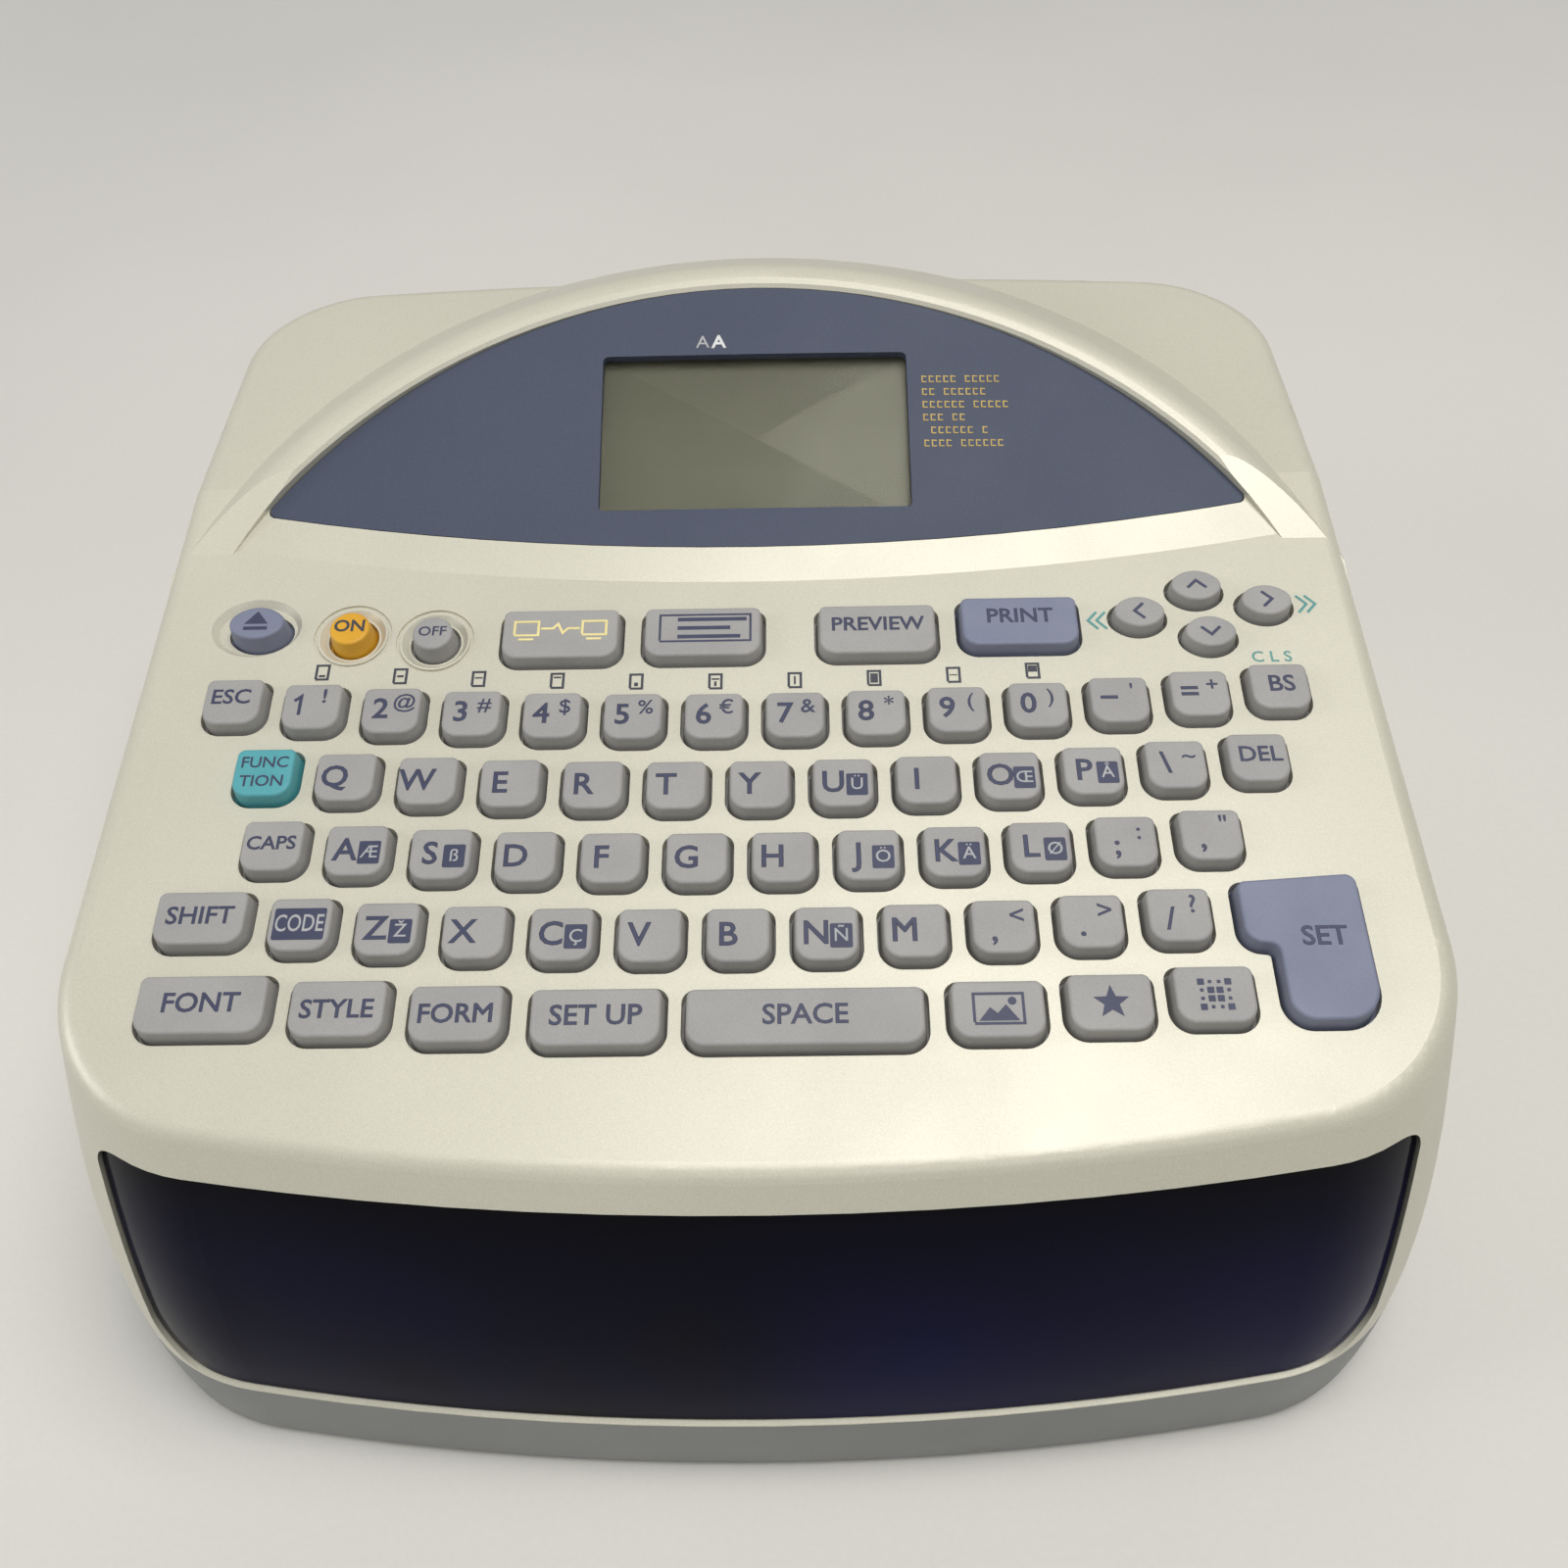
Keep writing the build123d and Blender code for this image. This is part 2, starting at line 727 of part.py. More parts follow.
def make_top_case():
    form = case_form()
    body = form & under_deck()
    rim_edges = [e for e in body.edges() if e.center().Z > brow_z - 5]
    rim_edges = [e for e in rim_edges if e.geom_type != GeomType.LINE]
    rim_edges = [e for e in rim_edges if abs(e.tangent_at(0.5).Z) < 0.5]
    body = fillet(rim_edges, deck_edge_radius)
    body = body + display_block()
    hollow = case_form(case_wall) & under_deck(case_wall)
    lining = display_cone(panel_thickness + panel_gap + bezel_floor)
    inner = case_wall / cos(radians(rim_outer_draft))
    lining = lining & face_frustum(rim_foot_radius - inner, rim_outer_radius - inner,
                                   -rim_depth, rim_height)
    lining = lining & on_deck(block(-far, far, rim_front_limit, far, -far, far))
    lining = lining & case_form(case_wall)
    shell = body - hollow - lining
    shell = shell - block(-far, far, -far, far, -far, lip_z + shell_gap)
    shell = shell - window_prism()
    inside = case_form(case_wall / 2) & under_deck(case_wall / 2)
    for x, y in post_places:
        shell = shell + (rod(x, y, lip_z, post_diameter / 2, far) & inside)
        shell = shell - rod(x, y, 0, screw_diameter / 2, case_screw_length + 6)
    for x, y in sheet_post_places:
        shell = shell + on_deck(tube(x, y, board_top, sheet_post_radius, board_screw_diameter / 2,
                                     -board_top - case_wall / 2))
    pocket = on_face(Pos(0, 0, 5) * extrude(crescent(0.0), amount=-10))
    shell = shell - (pocket & (display_cone(-1.0) - display_cone(panel_thickness + panel_glue)))
    shell = shell - on_face(lcd_box(lcd_margin + lcd_hole_gap, -8, 0))
    shell = shell - on_deck(eject_scoop())
    for places in (key_sets["on_key"], key_sets["off_key"]):
        x, y = places[0][1].position.X, places[0][1].position.Y
        shell = shell - on_deck(key_ring(x, y))
    holes = []
    for places in key_sets.values():
        holes += [on_deck(place * hole(plan)) for plan, place in places]
    shell = shell - holes
    shell = shell - rod(jack_x, belt_rear_y - 8, socket_z, jack_radius + socket_clearance, 20, "Y")
    shell = shell - usb_opening()
    return shell


def lcd_box(margin, low, high):
    """Box round the LCD window, in the display face's own frame."""
    half_width = lcd_width / 2 + margin
    half_depth = lcd_depth / 2 + margin
    return block(-half_width, half_width, lcd_centre_y - half_depth,
                 lcd_centre_y + half_depth, low, high)


def usb_opening():
    width = usb_width + 2 * socket_clearance
    y = belt_rear_y - 8
    low = socket_z - socket_height / 2 - socket_clearance
    high = socket_z + socket_height / 2 + socket_clearance
    return block(usb_x - width / 2, usb_x + width / 2, y, y + 20, low, high)


def make_bottom_case():
    form = case_form()
    layer = block(-far, far, -far, far, foot_height, lip_z)
    hollow = case_form(case_wall) & block(-far, far, -far, far, foot_height + floor_thickness, far)
    tub = (form & layer) - hollow
    ribs = []
    for sign in (-1, 1):
        x0 = sign * rail_centre_x
        ribs.append(block(x0 - rib_half_width, x0 + rib_half_width, rail_front_y, rail_rear_y,
                          foot_height + 1, rail_low_z))
    for x, y in post_places:
        ribs.append(rod(x, y, foot_height, post_diameter / 2, lip_z - foot_height) & form)
    for x, y in board_post_places:
        ribs.append(rod(x, y, foot_height + 1, board_post_radius, main_board_z - foot_height - 1))
    for rib in ribs:
        tub = tub + rib
    for x, y in post_places:
        tub = tub - rod(x, y, 0, screw_diameter / 2 + screw_clearance, far)
        tub = tub - rod(x, y, 0, screw_head_diameter / 2 + screw_clearance, screw_seat_z)
    for x, y in chassis_posts:
        tub = tub + rod(x, y, foot_height + 1, board_post_radius, chassis_low_z - foot_height - 1)
    for (x, y), top in [(p, main_board_z) for p in board_post_places] + \
            [(p, chassis_low_z) for p in chassis_posts]:
        tub = tub - rod(x, y, top - board_screw_length, board_screw_diameter / 2, far)
    for x, y in foot_places:
        tub = tub - rod(x, y, 0, foot_diameter / 2 + 0.1, foot_height + foot_seat)
    return tub


# ---------------------------------------------------------------- display and keyboard
def make_display_panel():
    prism = on_face(Pos(0, 0, -10) * extrude(crescent(panel_gap), amount=20))
    sheet = (display_cone() - display_cone(panel_thickness)) & prism
    mouth = fillet(Rectangle(lcd_width, lcd_depth).vertices(), lcd_corner_radius)
    return sheet - on_face(Pos(0, lcd_centre_y, -10) * extrude(mouth, amount=20))


def make_lcd_glass():
    return on_face(lcd_box(lcd_margin, -lcd_sink - lcd_glass_thickness, -lcd_sink))


def make_lcd_module():
    top = -lcd_sink - lcd_glass_thickness
    floor = -(panel_thickness + panel_gap + bezel_floor) - lcd_flange_gap
    core = lcd_box(lcd_margin, top - lcd_module_thickness, top)
    flange = lcd_box(lcd_margin + lcd_flange, floor - lcd_flange_thickness, floor)
    return on_face(core + flange)


def make_layer(top, thickness, hole_radius):
    """A flat layer under the deck, holed for the posts and the eject stem."""
    layer = on_deck(block(-far, far, sheet_front_y, sheet_rear_y, top - thickness, top))
    layer = layer & case_form(case_wall + sheet_margin)
    for x, y in sheet_post_places:
        layer = layer - on_deck(rod(x, y, -20, hole_radius, 20))
    for x, y in post_places:
        layer = layer - rod(x, y, 0, post_diameter / 2 + post_clearance, far)
    return layer - on_deck(rod(eject_x, eject_y, -20, eject_stem_radius + 1, 20))


def make_eject_key():
    plan, place = key_sets["eject_key"][0]
    top = -case_wall
    stem = rod(eject_x, eject_y, -eject_stem_length, eject_stem_radius, eject_stem_length + top)
    tip = Pos(eject_x, eject_y, -eject_stem_length) * Sphere(eject_stem_radius)
    return place_key(plan, place) + on_deck(stem) + on_deck(tip)


# ---------------------------------------------------------------- drawer
def make_front_window():
    skin = case_form(window_sink) - case_form(window_sink + window_thickness)
    panel = skin & window_prism(window_gap)
    top = tray_low_z + tray_thickness
    inside = case_form(window_sink + window_thickness / 2)
    for sign in (-1, 1):
        x0, x1 = sorted((sign * lug_inner_x, sign * lug_outer_x))
        panel = panel + (block(x0, x1, -far, lug_rear_y, top, top + lug_height) & inside)
        for x in tray_screw_xs:
            panel = panel - rod(sign * x, tray_screw_y, 0, tray_screw_diameter / 2 + 0.02,
                                top + lug_height - 0.8)
    return panel


def make_disc_tray():
    top = tray_low_z + tray_thickness
    plate = block(-tray_half_width, tray_half_width, -far, tray_rear_y, tray_low_z, top)
    plate = plate & case_form(window_sink + window_thickness + tray_front_gap)
    floor = top - disc_recess_depth
    recess = disc_diameter / 2 + disc_recess_clearance
    plate = plate - rod(0, disc_centre_y, floor, recess, far)
    plate = plate - rod(0, disc_centre_y, 0, hub_diameter / 2 - 2.5, far)
    for sign in (-1, 1):
        for x in tray_screw_xs:
            plate = plate - rod(sign * x, tray_screw_y, 0, tray_screw_diameter / 2 + 0.05, far)
            plate = plate - rod(sign * x, tray_screw_y, 0, tray_screw_head_diameter / 2 + 0.1,
                                tray_low_z + tray_screw_head_height)
    catch = block(-tray_half_width - 1, -tray_half_width + 1.8, latch_y - lever_thickness / 2 - 0.6,
                  latch_y + lever_thickness / 2 + 0.6, 0, far)
    return plate - catch


def make_disc_hub():
    floor = tray_low_z + tray_thickness - disc_recess_depth
    hub = rod(0, disc_centre_y, floor, hub_diameter / 2, hub_height)
    hub = fillet(hub.edges().sort_by(Axis.Z)[-1], 1.0)
    hub = hub + rod(0, disc_centre_y, floor, hub_flange_diameter / 2, mat_thickness)
    hub = hub - rod(0, disc_centre_y, floor + 1.2, hub_diameter / 2 - 1.8, 20)
    for angle in (0, 60, 120):
        slot = Box(hub_diameter + 2, hub_slot_width, 20, align=(Align.CENTER, Align.CENTER, Align.MIN))
        hub = hub - Pos(0, disc_centre_y, floor + 1.2) * Rot(0, 0, angle) * slot
    return hub


def make_disc_mat():
    floor = tray_low_z + tray_thickness - disc_recess_depth
    return tube(0, disc_centre_y, floor, disc_diameter / 2 - mat_margin,
                hub_flange_diameter / 2 + 0.3, mat_thickness)


def make_tray_screws():
    screws = []
    length = tray_thickness + lug_height - 1.2
    for sign in (-1, 1):
        for x in tray_screw_xs:
            shank = rod(sign * x, tray_screw_y, tray_low_z, tray_screw_diameter / 2, length)
            head = rod(sign * x, tray_screw_y, tray_low_z, tray_screw_head_diameter / 2,
                       tray_screw_head_height)
            screws.append(shank + head)
    return screws


def make_rail(sign):
    inner = tray_half_width + rail_side_gap
    low = rail_low_z
    high = tray_low_z + tray_thickness + rail_running_gap + rail_lip
    x0, x1 = sorted((sign * (inner - 4.2), sign * (inner + rail_web)))
    rail = block(x0, x1, rail_front_y, rail_rear_y, low, high)
    x0, x1 = sorted((sign * (inner - 10), sign * inner))
    rail = rail - block(x0, x1, rail_front_y - 1, rail_rear_y + 1, low + rail_lip, high - rail_lip)
    if sign < 0:
        half = lever_thickness / 2 + 0.7
        rail = rail - block(-inner - rail_web - 1, -inner + 0.1, latch_y - half, latch_y + half,
                            low + 0.8, high - rail_lip + 1)
    return rail


# ---------------------------------------------------------------- chassis and carriage
def make_chassis():
    outer = chassis_half_width
    inner = outer - chassis_sheet
    frame = block(-outer, outer, chassis_rear_y - chassis_sheet, chassis_rear_y,
                  chassis_low_z, chassis_high_z)
    for sign in (-1, 1):
        x0, x1 = sorted((sign * outer, sign * inner))
        frame = frame + block(x0, x1, chassis_front_y, chassis_rear_y, chassis_low_z, chassis_high_z)
        x0, x1 = sorted((sign * outer, sign * (outer - chassis_foot_width)))
        frame = frame + block(x0, x1, chassis_front_y, chassis_rear_y,
                              chassis_low_z, chassis_low_z + chassis_sheet)
        frame = frame + rod(sign * pulley_x, pulley_y - pulley_width / 2, pulley_z, axle_radius,
                            chassis_rear_y - pulley_y + pulley_width / 2 - 0.5, "Y")
    for y in shaft_ys:
        frame = frame - rod(-far, y, shaft_z, shaft_diameter / 2 + bore_clearance, 2 * far, "X")
    for x, y in chassis_posts:
        frame = frame - rod(x, y, 0, board_screw_diameter / 2 + 0.1, chassis_low_z + 3)
    frame = frame - block(-tray_half_width - 4, tray_half_width + 4, 0, far,
                          0, tray_low_z + tray_thickness + 4)
    pinion_z = pulley_z - gear_module * (drive_teeth + pinion_teeth) / 2
    frame = frame - rod(-pulley_x, 40, pinion_z, motor_shaft_radius + 1, 40, "Y")
    for side in (-1, 1):
        near = latch_y + side * (lever_thickness / 2 + lever_side_gap)
        y0, y1 = sorted((near, near + side * chassis_sheet))
        frame = frame + block(-inner - 0.1, lever_pivot_x + lever_boss_radius, y0, y1,
                              lever_pivot_z - lever_boss_radius, lever_pivot_z + lever_boss_radius)
    return frame - rod(lever_pivot_x, 0, lever_pivot_z, lever_pin_radius, 30, "Y")


def make_shaft(y):
    return rod(-chassis_half_width - 0.8, y, shaft_z, shaft_diameter / 2,
               2 * chassis_half_width + 1.6, "X")


def make_carriage():
    plate = block(-carriage_half_width, carriage_half_width, carriage_plate_y,
                  carriage_plate_y + carriage_plate_thickness, carriage_low_z, carriage_high_z)
    slider = block(-slider_half_width, slider_half_width, carriage_plate_y, slider_rear_y,
                   slider_low_z, carriage_high_z)
    lug = block(-5, 5, slider_rear_y - 1, pulley_y + belt_width / 2 + 0.3,
                pulley_z + pulley_radius - 2, pulley_z + pulley_radius + 3.4)
    body = plate + slider + lug
    body = body - block(-6, 6, pulley_y - belt_width / 2 - lug_slot_gap, far,
                        pulley_z + pulley_radius - lug_slot_gap,
                        pulley_z + pulley_radius + belt_thickness + lug_slot_gap)
    for y in shaft_ys:
        body = body - rod(-far, y, shaft_z, shaft_diameter / 2 + bore_clearance, 2 * far, "X")
    length = carriage_plate_y - cassette_front_y - 2
    body = body + rod(arm_pivot_x, carriage_plate_y - length, arm_pivot_z, arm_pin_radius,
                      length, "Y")
    for sign in (-1, 1):
        body = body + rod(sign * spool_x, carriage_plate_y - length, spool_z, spindle_radius,
                          length, "Y")
    return body


def make_cassette():
    case = block(-cassette_half_width, cassette_half_width, cassette_front_y, carriage_plate_y,
                 cassette_low_z, cassette_high_z)
    case = fillet(case.edges().filter_by(Axis.Y), 2.0)
    case = case - block(-notch_half_width, notch_half_width, -far, far, 0, notch_high_z)
    for sign in (-1, 1):
        case = case - rod(sign * spool_x, cassette_front_y + cassette_wall, spool_z,
                          spool_radius + spool_clearance, far, "Y")
    return case


def make_spool(sign):
    y = cassette_front_y + cassette_wall + 0.4
    length = carriage_plate_y - 0.5 - y
    spool = tube(sign * spool_x, y, spool_z, spool_radius - 1.2, spindle_radius + bore_clearance,
                 length, "Y")
    for start in (y, y + length - 1):
        spool = spool + tube(sign * spool_x, start, spool_z, spool_radius,
                             spindle_radius + bore_clearance, 1, "Y")
    wound = spool_radius - (0.3 if sign < 0 else 0.9)
    return spool + tube(sign * spool_x, y + 0.9, spool_z, wound, spindle_radius + bore_clearance,
                        length - 1.8, "Y")


def make_head_arm():
    length = band_width + 1
    y = band_y - length / 2
    under = head_z + head_thickness
    outline_points = [
        (arm_pivot_x - 2.6, arm_pivot_z - 1.0),
        (arm_pivot_x + 1.0, arm_pivot_z + 2.9),
        (head_x + 2.2, under + 4.5),
        (head_x + 2.2, under),
        (head_x - 2.6, under),
    ]
    points = [(x, y + length, z) for x, z in outline_points]
    plate = extrude(make_face(Polyline(*points, close=True).edges()), amount=length, dir=(0, -1, 0))
    arm = plate + rod(arm_pivot_x, y, arm_pivot_z, arm_boss_radius, length, "Y")
    return arm - rod(arm_pivot_x, y - 1, arm_pivot_z, arm_pin_radius + bore_clearance,
                     length + 2, "Y")


def make_print_head():
    head = block(head_x - head_length / 2, head_x + head_length / 2, band_y - band_width / 2,
                 band_y + band_width / 2, head_z, head_z + head_thickness)
    low_edges = head.edges().filter_by(Axis.Y).sort_by(Axis.Z)[:2]
    return fillet(low_edges, 0.6)


def gear(teeth, width):
    """Spur gear on Z with straight-flanked teeth; one tooth points along +X."""
    pitch_radius = gear_module * teeth / 2
    top = pitch_radius + 0.75 * gear_module
    root = pitch_radius - 1.1 * gear_module
    half = pi / teeth
    points = []
    for tooth in range(teeth):
        middle = 2 * pi * tooth / teeth
        for radius, share in ((root, -0.62), (top, -0.22), (top, 0.22), (root, 0.62)):
            angle = middle + share * half
            points.append((radius * cos(angle), radius * sin(angle)))
    return extrude(make_face(Polyline(*points, close=True).edges()), amount=width)


def upright(solid, x, y, z, turn=0.0):
    """Lay a solid made along Z down along +Y, at a place."""
    return Pos(x, y, z) * Rot(-90, 0, 0) * Rot(0, 0, turn) * solid


def make_pulley(x):
    start = pulley_y - pulley_width / 2
    body = tube(x, start, pulley_z, pulley_radius, axle_radius + bore_clearance, pulley_width, "Y")
    for y in (start - 0.6, start + pulley_width):
        body = body + tube(x, y, pulley_z, pulley_radius + pulley_flange,
                           axle_radius + bore_clearance, 0.6, "Y")
    return body


def make_drive_gear():
    start = pulley_y + pulley_width / 2 + 0.6
    wheel = upright(gear(drive_teeth, gear_width), -pulley_x, start, pulley_z, 90)
    return wheel - rod(-pulley_x, start - 1, pulley_z, axle_radius + bore_clearance, 10, "Y")


def make_motor_pinion():
    start = pulley_y + pulley_width / 2 + 0.6
    z = pulley_z - gear_module * (drive_teeth + pinion_teeth) / 2
    wheel = upright(gear(pinion_teeth, gear_width), -pulley_x, start, z, -90 + 180 / pinion_teeth)
    return wheel + rod(-pulley_x, start, z, motor_shaft_radius,
                       chassis_rear_y - start + motor_length / 2, "Y")


def make_motor():
    z = pulley_z - gear_module * (drive_teeth + pinion_teeth) / 2
    body = rod(-pulley_x, chassis_rear_y, z, motor_radius, motor_length, "Y")
    body = fillet(body.edges().sort_by(Axis.Y)[-1], 1.5)
    return body - rod(-pulley_x, chassis_rear_y - 1, z, motor_shaft_radius + bore_clearance,
                      motor_length / 2 + 2, "Y")


def make_belt():
    """Flat belt round both pulleys."""
    def loop(radius):
        ends = [rod(sign * pulley_x, pulley_y - belt_width / 2, pulley_z, radius, belt_width, "Y")
                for sign in (-1, 1)]
        middle = block(-pulley_x, pulley_x, pulley_y - belt_width / 2, pulley_y + belt_width / 2,
                       pulley_z - radius, pulley_z + radius)
        return ends[0] + ends[1] + middle
    return loop(pulley_radius + belt_thickness) - loop(pulley_radius + 0.02)


# ---------------------------------------------------------------- latch
def lever_arm_top():
    tip = deck.from_local_coords(Vector(eject_x, eject_y, -eject_stem_length))
    return tip.Z - eject_stem_radius - stem_gap


def make_latch_lever():
    y = latch_y - lever_thickness / 2
    top = lever_arm_top()
    arm = block(lever_pivot_x, eject_x + 3, y, y + lever_thickness, top - lever_arm_thickness, top)
    boss = rod(lever_pivot_x, y, lever_pivot_z, lever_boss_radius, lever_thickness, "Y")
    tip_x = -(tray_half_width + nose_gap)
    low = nose_z - nose_height / 2
    nose = block(tip_x - 7, tip_x, y, y + lever_thickness, low, low + nose_height)
    leg_points = [
        (lever_pivot_x - 2.5, lever_pivot_z - 1.5),
        (lever_pivot_x + 3.0, lever_pivot_z - 1.5),
        (tip_x - 3.2, low + nose_height),
        (tip_x - 7.0, low),
    ]
    points = [(x, y + lever_thickness, z) for x, z in leg_points]
    leg = extrude(make_face(Polyline(*points, close=True).edges()), amount=lever_thickness,
                  dir=(0, -1, 0))
    lever = boss + arm + leg + nose
    return lever - rod(lever_pivot_x, 0, lever_pivot_z, lever_pin_radius + bore_clearance, 30, "Y")


def make_latch_pin():
    half = lever_thickness / 2 + lever_side_gap + chassis_sheet
    return rod(lever_pivot_x, latch_y - half, lever_pivot_z, lever_pin_radius, 2 * half, "Y")


def make_latch_spring():
    """Small compression spring between the lever's leg and the chassis side."""
    start = -(chassis_half_width - chassis_sheet)
    reach = spring_reach_x - start - spring_wire
    pitch = reach / spring_turns
    path = Helix(pitch=pitch, height=reach, radius=spring_radius)
    ring = Plane(origin=path @ 0, z_dir=path % 0) * Circle(spring_wire / 2)
    coil = sweep(ring, path=path, is_frenet=True)
    return Pos(start + spring_wire / 2, latch_y, spring_z) * Rot(0, 90, 0) * coil


# ---------------------------------------------------------------- boards, sockets, fasteners
def make_main_board():
    board = block(-main_board_half_width, main_board_half_width, main_board_front_y,
                  main_board_rear_y, main_board_z, main_board_z + board_thickness)
    board = board & case_form(case_wall + sheet_margin)
    for x, y in board_post_places:
        board = board - rod(x, y, 0, board_screw_diameter / 2 + 0.1, far)
    for x, y in post_places:
        board = board - rod(x, y, 0, post_diameter / 2 + post_clearance, far)
    return board


def chip(x, y, width, depth, height):
    low = main_board_z + board_thickness
    return block(x - width / 2, x + width / 2, y - depth / 2, y + depth / 2, low, low + height)


def make_board_chips():
    return [
        chip(chip_x, chip_y, chip_size, chip_size, chip_height),
        chip(driver_x, driver_y, driver_width, driver_depth, driver_height),
        chip(regulator_x, regulator_y, regulator_width, regulator_depth, regulator_height),
    ]


def make_dc_jack():
    low = main_board_z + board_thickness
    end = socket_rear_y - socket_depth
    body = block(jack_x - jack_width / 2, jack_x + jack_width / 2, socket_front_y,
                 jack_body_rear_y, low, low + socket_height)
    body = body + rod(jack_x, jack_body_rear_y, socket_z, jack_radius,
                      socket_rear_y - jack_body_rear_y, "Y")
    body = body - rod(jack_x, end, socket_z, jack_bore_radius, far, "Y")
    return body + rod(jack_x, end - 1, socket_z, jack_pin_radius, socket_depth, "Y")


def make_usb_port():
    end = socket_rear_y
    low = main_board_z + board_thickness
    body = block(usb_x - usb_width / 2, usb_x + usb_width / 2, socket_front_y, end,
                 low, low + socket_height)
    half_width = usb_mouth_width / 2
    half_height = usb_mouth_height / 2
    return body - block(usb_x - half_width, usb_x + half_width, end - socket_depth, far,
                        socket_z - half_height, socket_z + half_height)


def make_case_screws():
    screws = []
    for x, y in post_places:
        seat = screw_seat_z - screw_head_height
        head = rod(x, y, seat, screw_head_diameter / 2, screw_head_height)
        shank = rod(x, y, seat, screw_diameter / 2, case_screw_length)
        screws.append(head + shank)
    return screws


def small_screw(x, y, z, length, down=True):
    """Board screw: its head sits on z and its shank runs away from the head."""
    head = rod(x, y, z if down else z - 1.2, board_screw_diameter, 1.2)
    shank = rod(x, y, z - length if down else z, board_screw_diameter / 2, length)
    return head + shank


def make_board_screws():
    length = board_screw_length - 1
    screws = [small_screw(x, y, main_board_z + board_thickness, length) for x, y in board_post_places]
    screws += [small_screw(x, y, chassis_low_z + chassis_sheet, length) for x, y in chassis_posts]
    for x, y in sheet_post_places:
        screws.append(on_deck(small_screw(x, y, board_low, 5, down=False)))
    return screws


def make_feet():
    feet = []
    for x, y in foot_places:
        foot = rod(x, y, 0, foot_diameter / 2, foot_height + foot_seat)
        feet.append(fillet(foot.edges().sort_by(Axis.Z)[0], 0.6))
    return feet


stem_tip = deck.from_local_coords(Vector(eject_x, eject_y, -eject_stem_length))
latch_y = stem_tip.Y
spring_reach_x = lever_pivot_x - 1.0

pieces = {
    "top_case": make_top_case,
    "bottom_case": make_bottom_case,
    "display_panel": make_display_panel,
    "lcd_glass": make_lcd_glass,
    "lcd_module": make_lcd_module,
    "keypad_sheet": lambda: make_layer(sheet_top, sheet_thickness,
                                       sheet_post_radius + sheet_post_clearance),
    "key_board": lambda: make_layer(board_top, board_thickness, board_screw_diameter / 2),
    "front_window": make_front_window,
    "disc_tray": make_disc_tray,
    "disc_hub": make_disc_hub,
    "disc_mat": make_disc_mat,
    "tray_screws": lambda: group(make_tray_screws()),
    "drawer_rail_left": lambda: make_rail(-1),
    "drawer_rail_right": lambda: make_rail(1),
    "chassis_frame": make_chassis,
    "guide_shaft_front": lambda: make_shaft(shaft_ys[0]),
    "guide_shaft_rear": lambda: make_shaft(shaft_ys[1]),
    "carriage": make_carriage,
    "ribbon_cassette": make_cassette,
    "supply_spool": lambda: make_spool(-1),
    "takeup_spool": lambda: make_spool(1),
    "head_arm": make_head_arm,
    "print_head": make_print_head,
    "drive_pulley": lambda: make_pulley(-pulley_x),
    "drive_gear": make_drive_gear,
    "idler_pulley": lambda: make_pulley(pulley_x),
    "drive_belt": make_belt,
    "motor_pinion": make_motor_pinion,
    "carriage_motor": make_motor,
    "latch_lever": make_latch_lever,
    "latch_pin": make_latch_pin,
    "latch_spring": make_latch_spring,
    "main_board": make_main_board,
    "board_chips": lambda: group(make_board_chips()),
    "dc_jack": make_dc_jack,
    "usb_port": make_usb_port,
    "case_screws": lambda: group(make_case_screws()),
    "board_screws": lambda: group(make_board_screws()),
    "rubber_feet": lambda: group(make_feet()),
}
for name, make in pieces.items():
    save(name, make())
    print("made", name)

for name, places in key_sets.items():
    if name == "eject_key":
        save(name, make_eject_key())
        continue
    solids = [place_key(plan, place) for plan, place in places]
    save(name, solids[0] if len(solids) == 1 else group(solids))
print("made keys")
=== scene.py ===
import math

import bmesh
import bpy
from mathutils import Matrix, Vector


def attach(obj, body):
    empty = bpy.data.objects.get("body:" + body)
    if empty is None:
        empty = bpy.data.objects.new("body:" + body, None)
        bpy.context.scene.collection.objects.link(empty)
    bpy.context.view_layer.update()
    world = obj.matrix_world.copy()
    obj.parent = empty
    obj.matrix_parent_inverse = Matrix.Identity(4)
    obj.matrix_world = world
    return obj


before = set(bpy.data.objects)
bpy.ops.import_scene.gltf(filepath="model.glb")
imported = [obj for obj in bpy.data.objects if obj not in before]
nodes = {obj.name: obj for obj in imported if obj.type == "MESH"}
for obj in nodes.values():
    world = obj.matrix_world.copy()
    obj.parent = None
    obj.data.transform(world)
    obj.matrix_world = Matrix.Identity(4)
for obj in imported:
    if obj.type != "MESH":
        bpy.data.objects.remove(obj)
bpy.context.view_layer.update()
mm = 0.001
print("frame loaded,", len(nodes), "nodes")

# The deck and the display face, as in the model: places on them are in millimetres.
deck = {"slope": math.radians(10), "y": -16.1, "z": 79.5}
face = {"tilt": math.radians(12), "y": 28}
deckPlace = Matrix.Translation((0, deck["y"] * mm, deck["z"] * mm)) @ Matrix.Rotation(deck["slope"], 4, "X")
facePlace = deckPlace @ Matrix.Translation((0, face["y"] * mm, 0)) @ Matrix.Rotation(face["tilt"], 4, "X")


# Shader effects that several finishes share.
def newGroup(name, inputs, outputs):
    tree = bpy.data.node_groups.new(name, "ShaderNodeTree")
    for label, kind, value in inputs:
        socket = tree.interface.new_socket(label, in_out="INPUT", socket_type=kind)
        socket.default_value = value
    for label, kind in outputs:
        tree.interface.new_socket(label, in_out="OUTPUT", socket_type=kind)
    start = tree.nodes.new("NodeGroupInput")
    end = tree.nodes.new("NodeGroupOutput")
    return tree, start, end


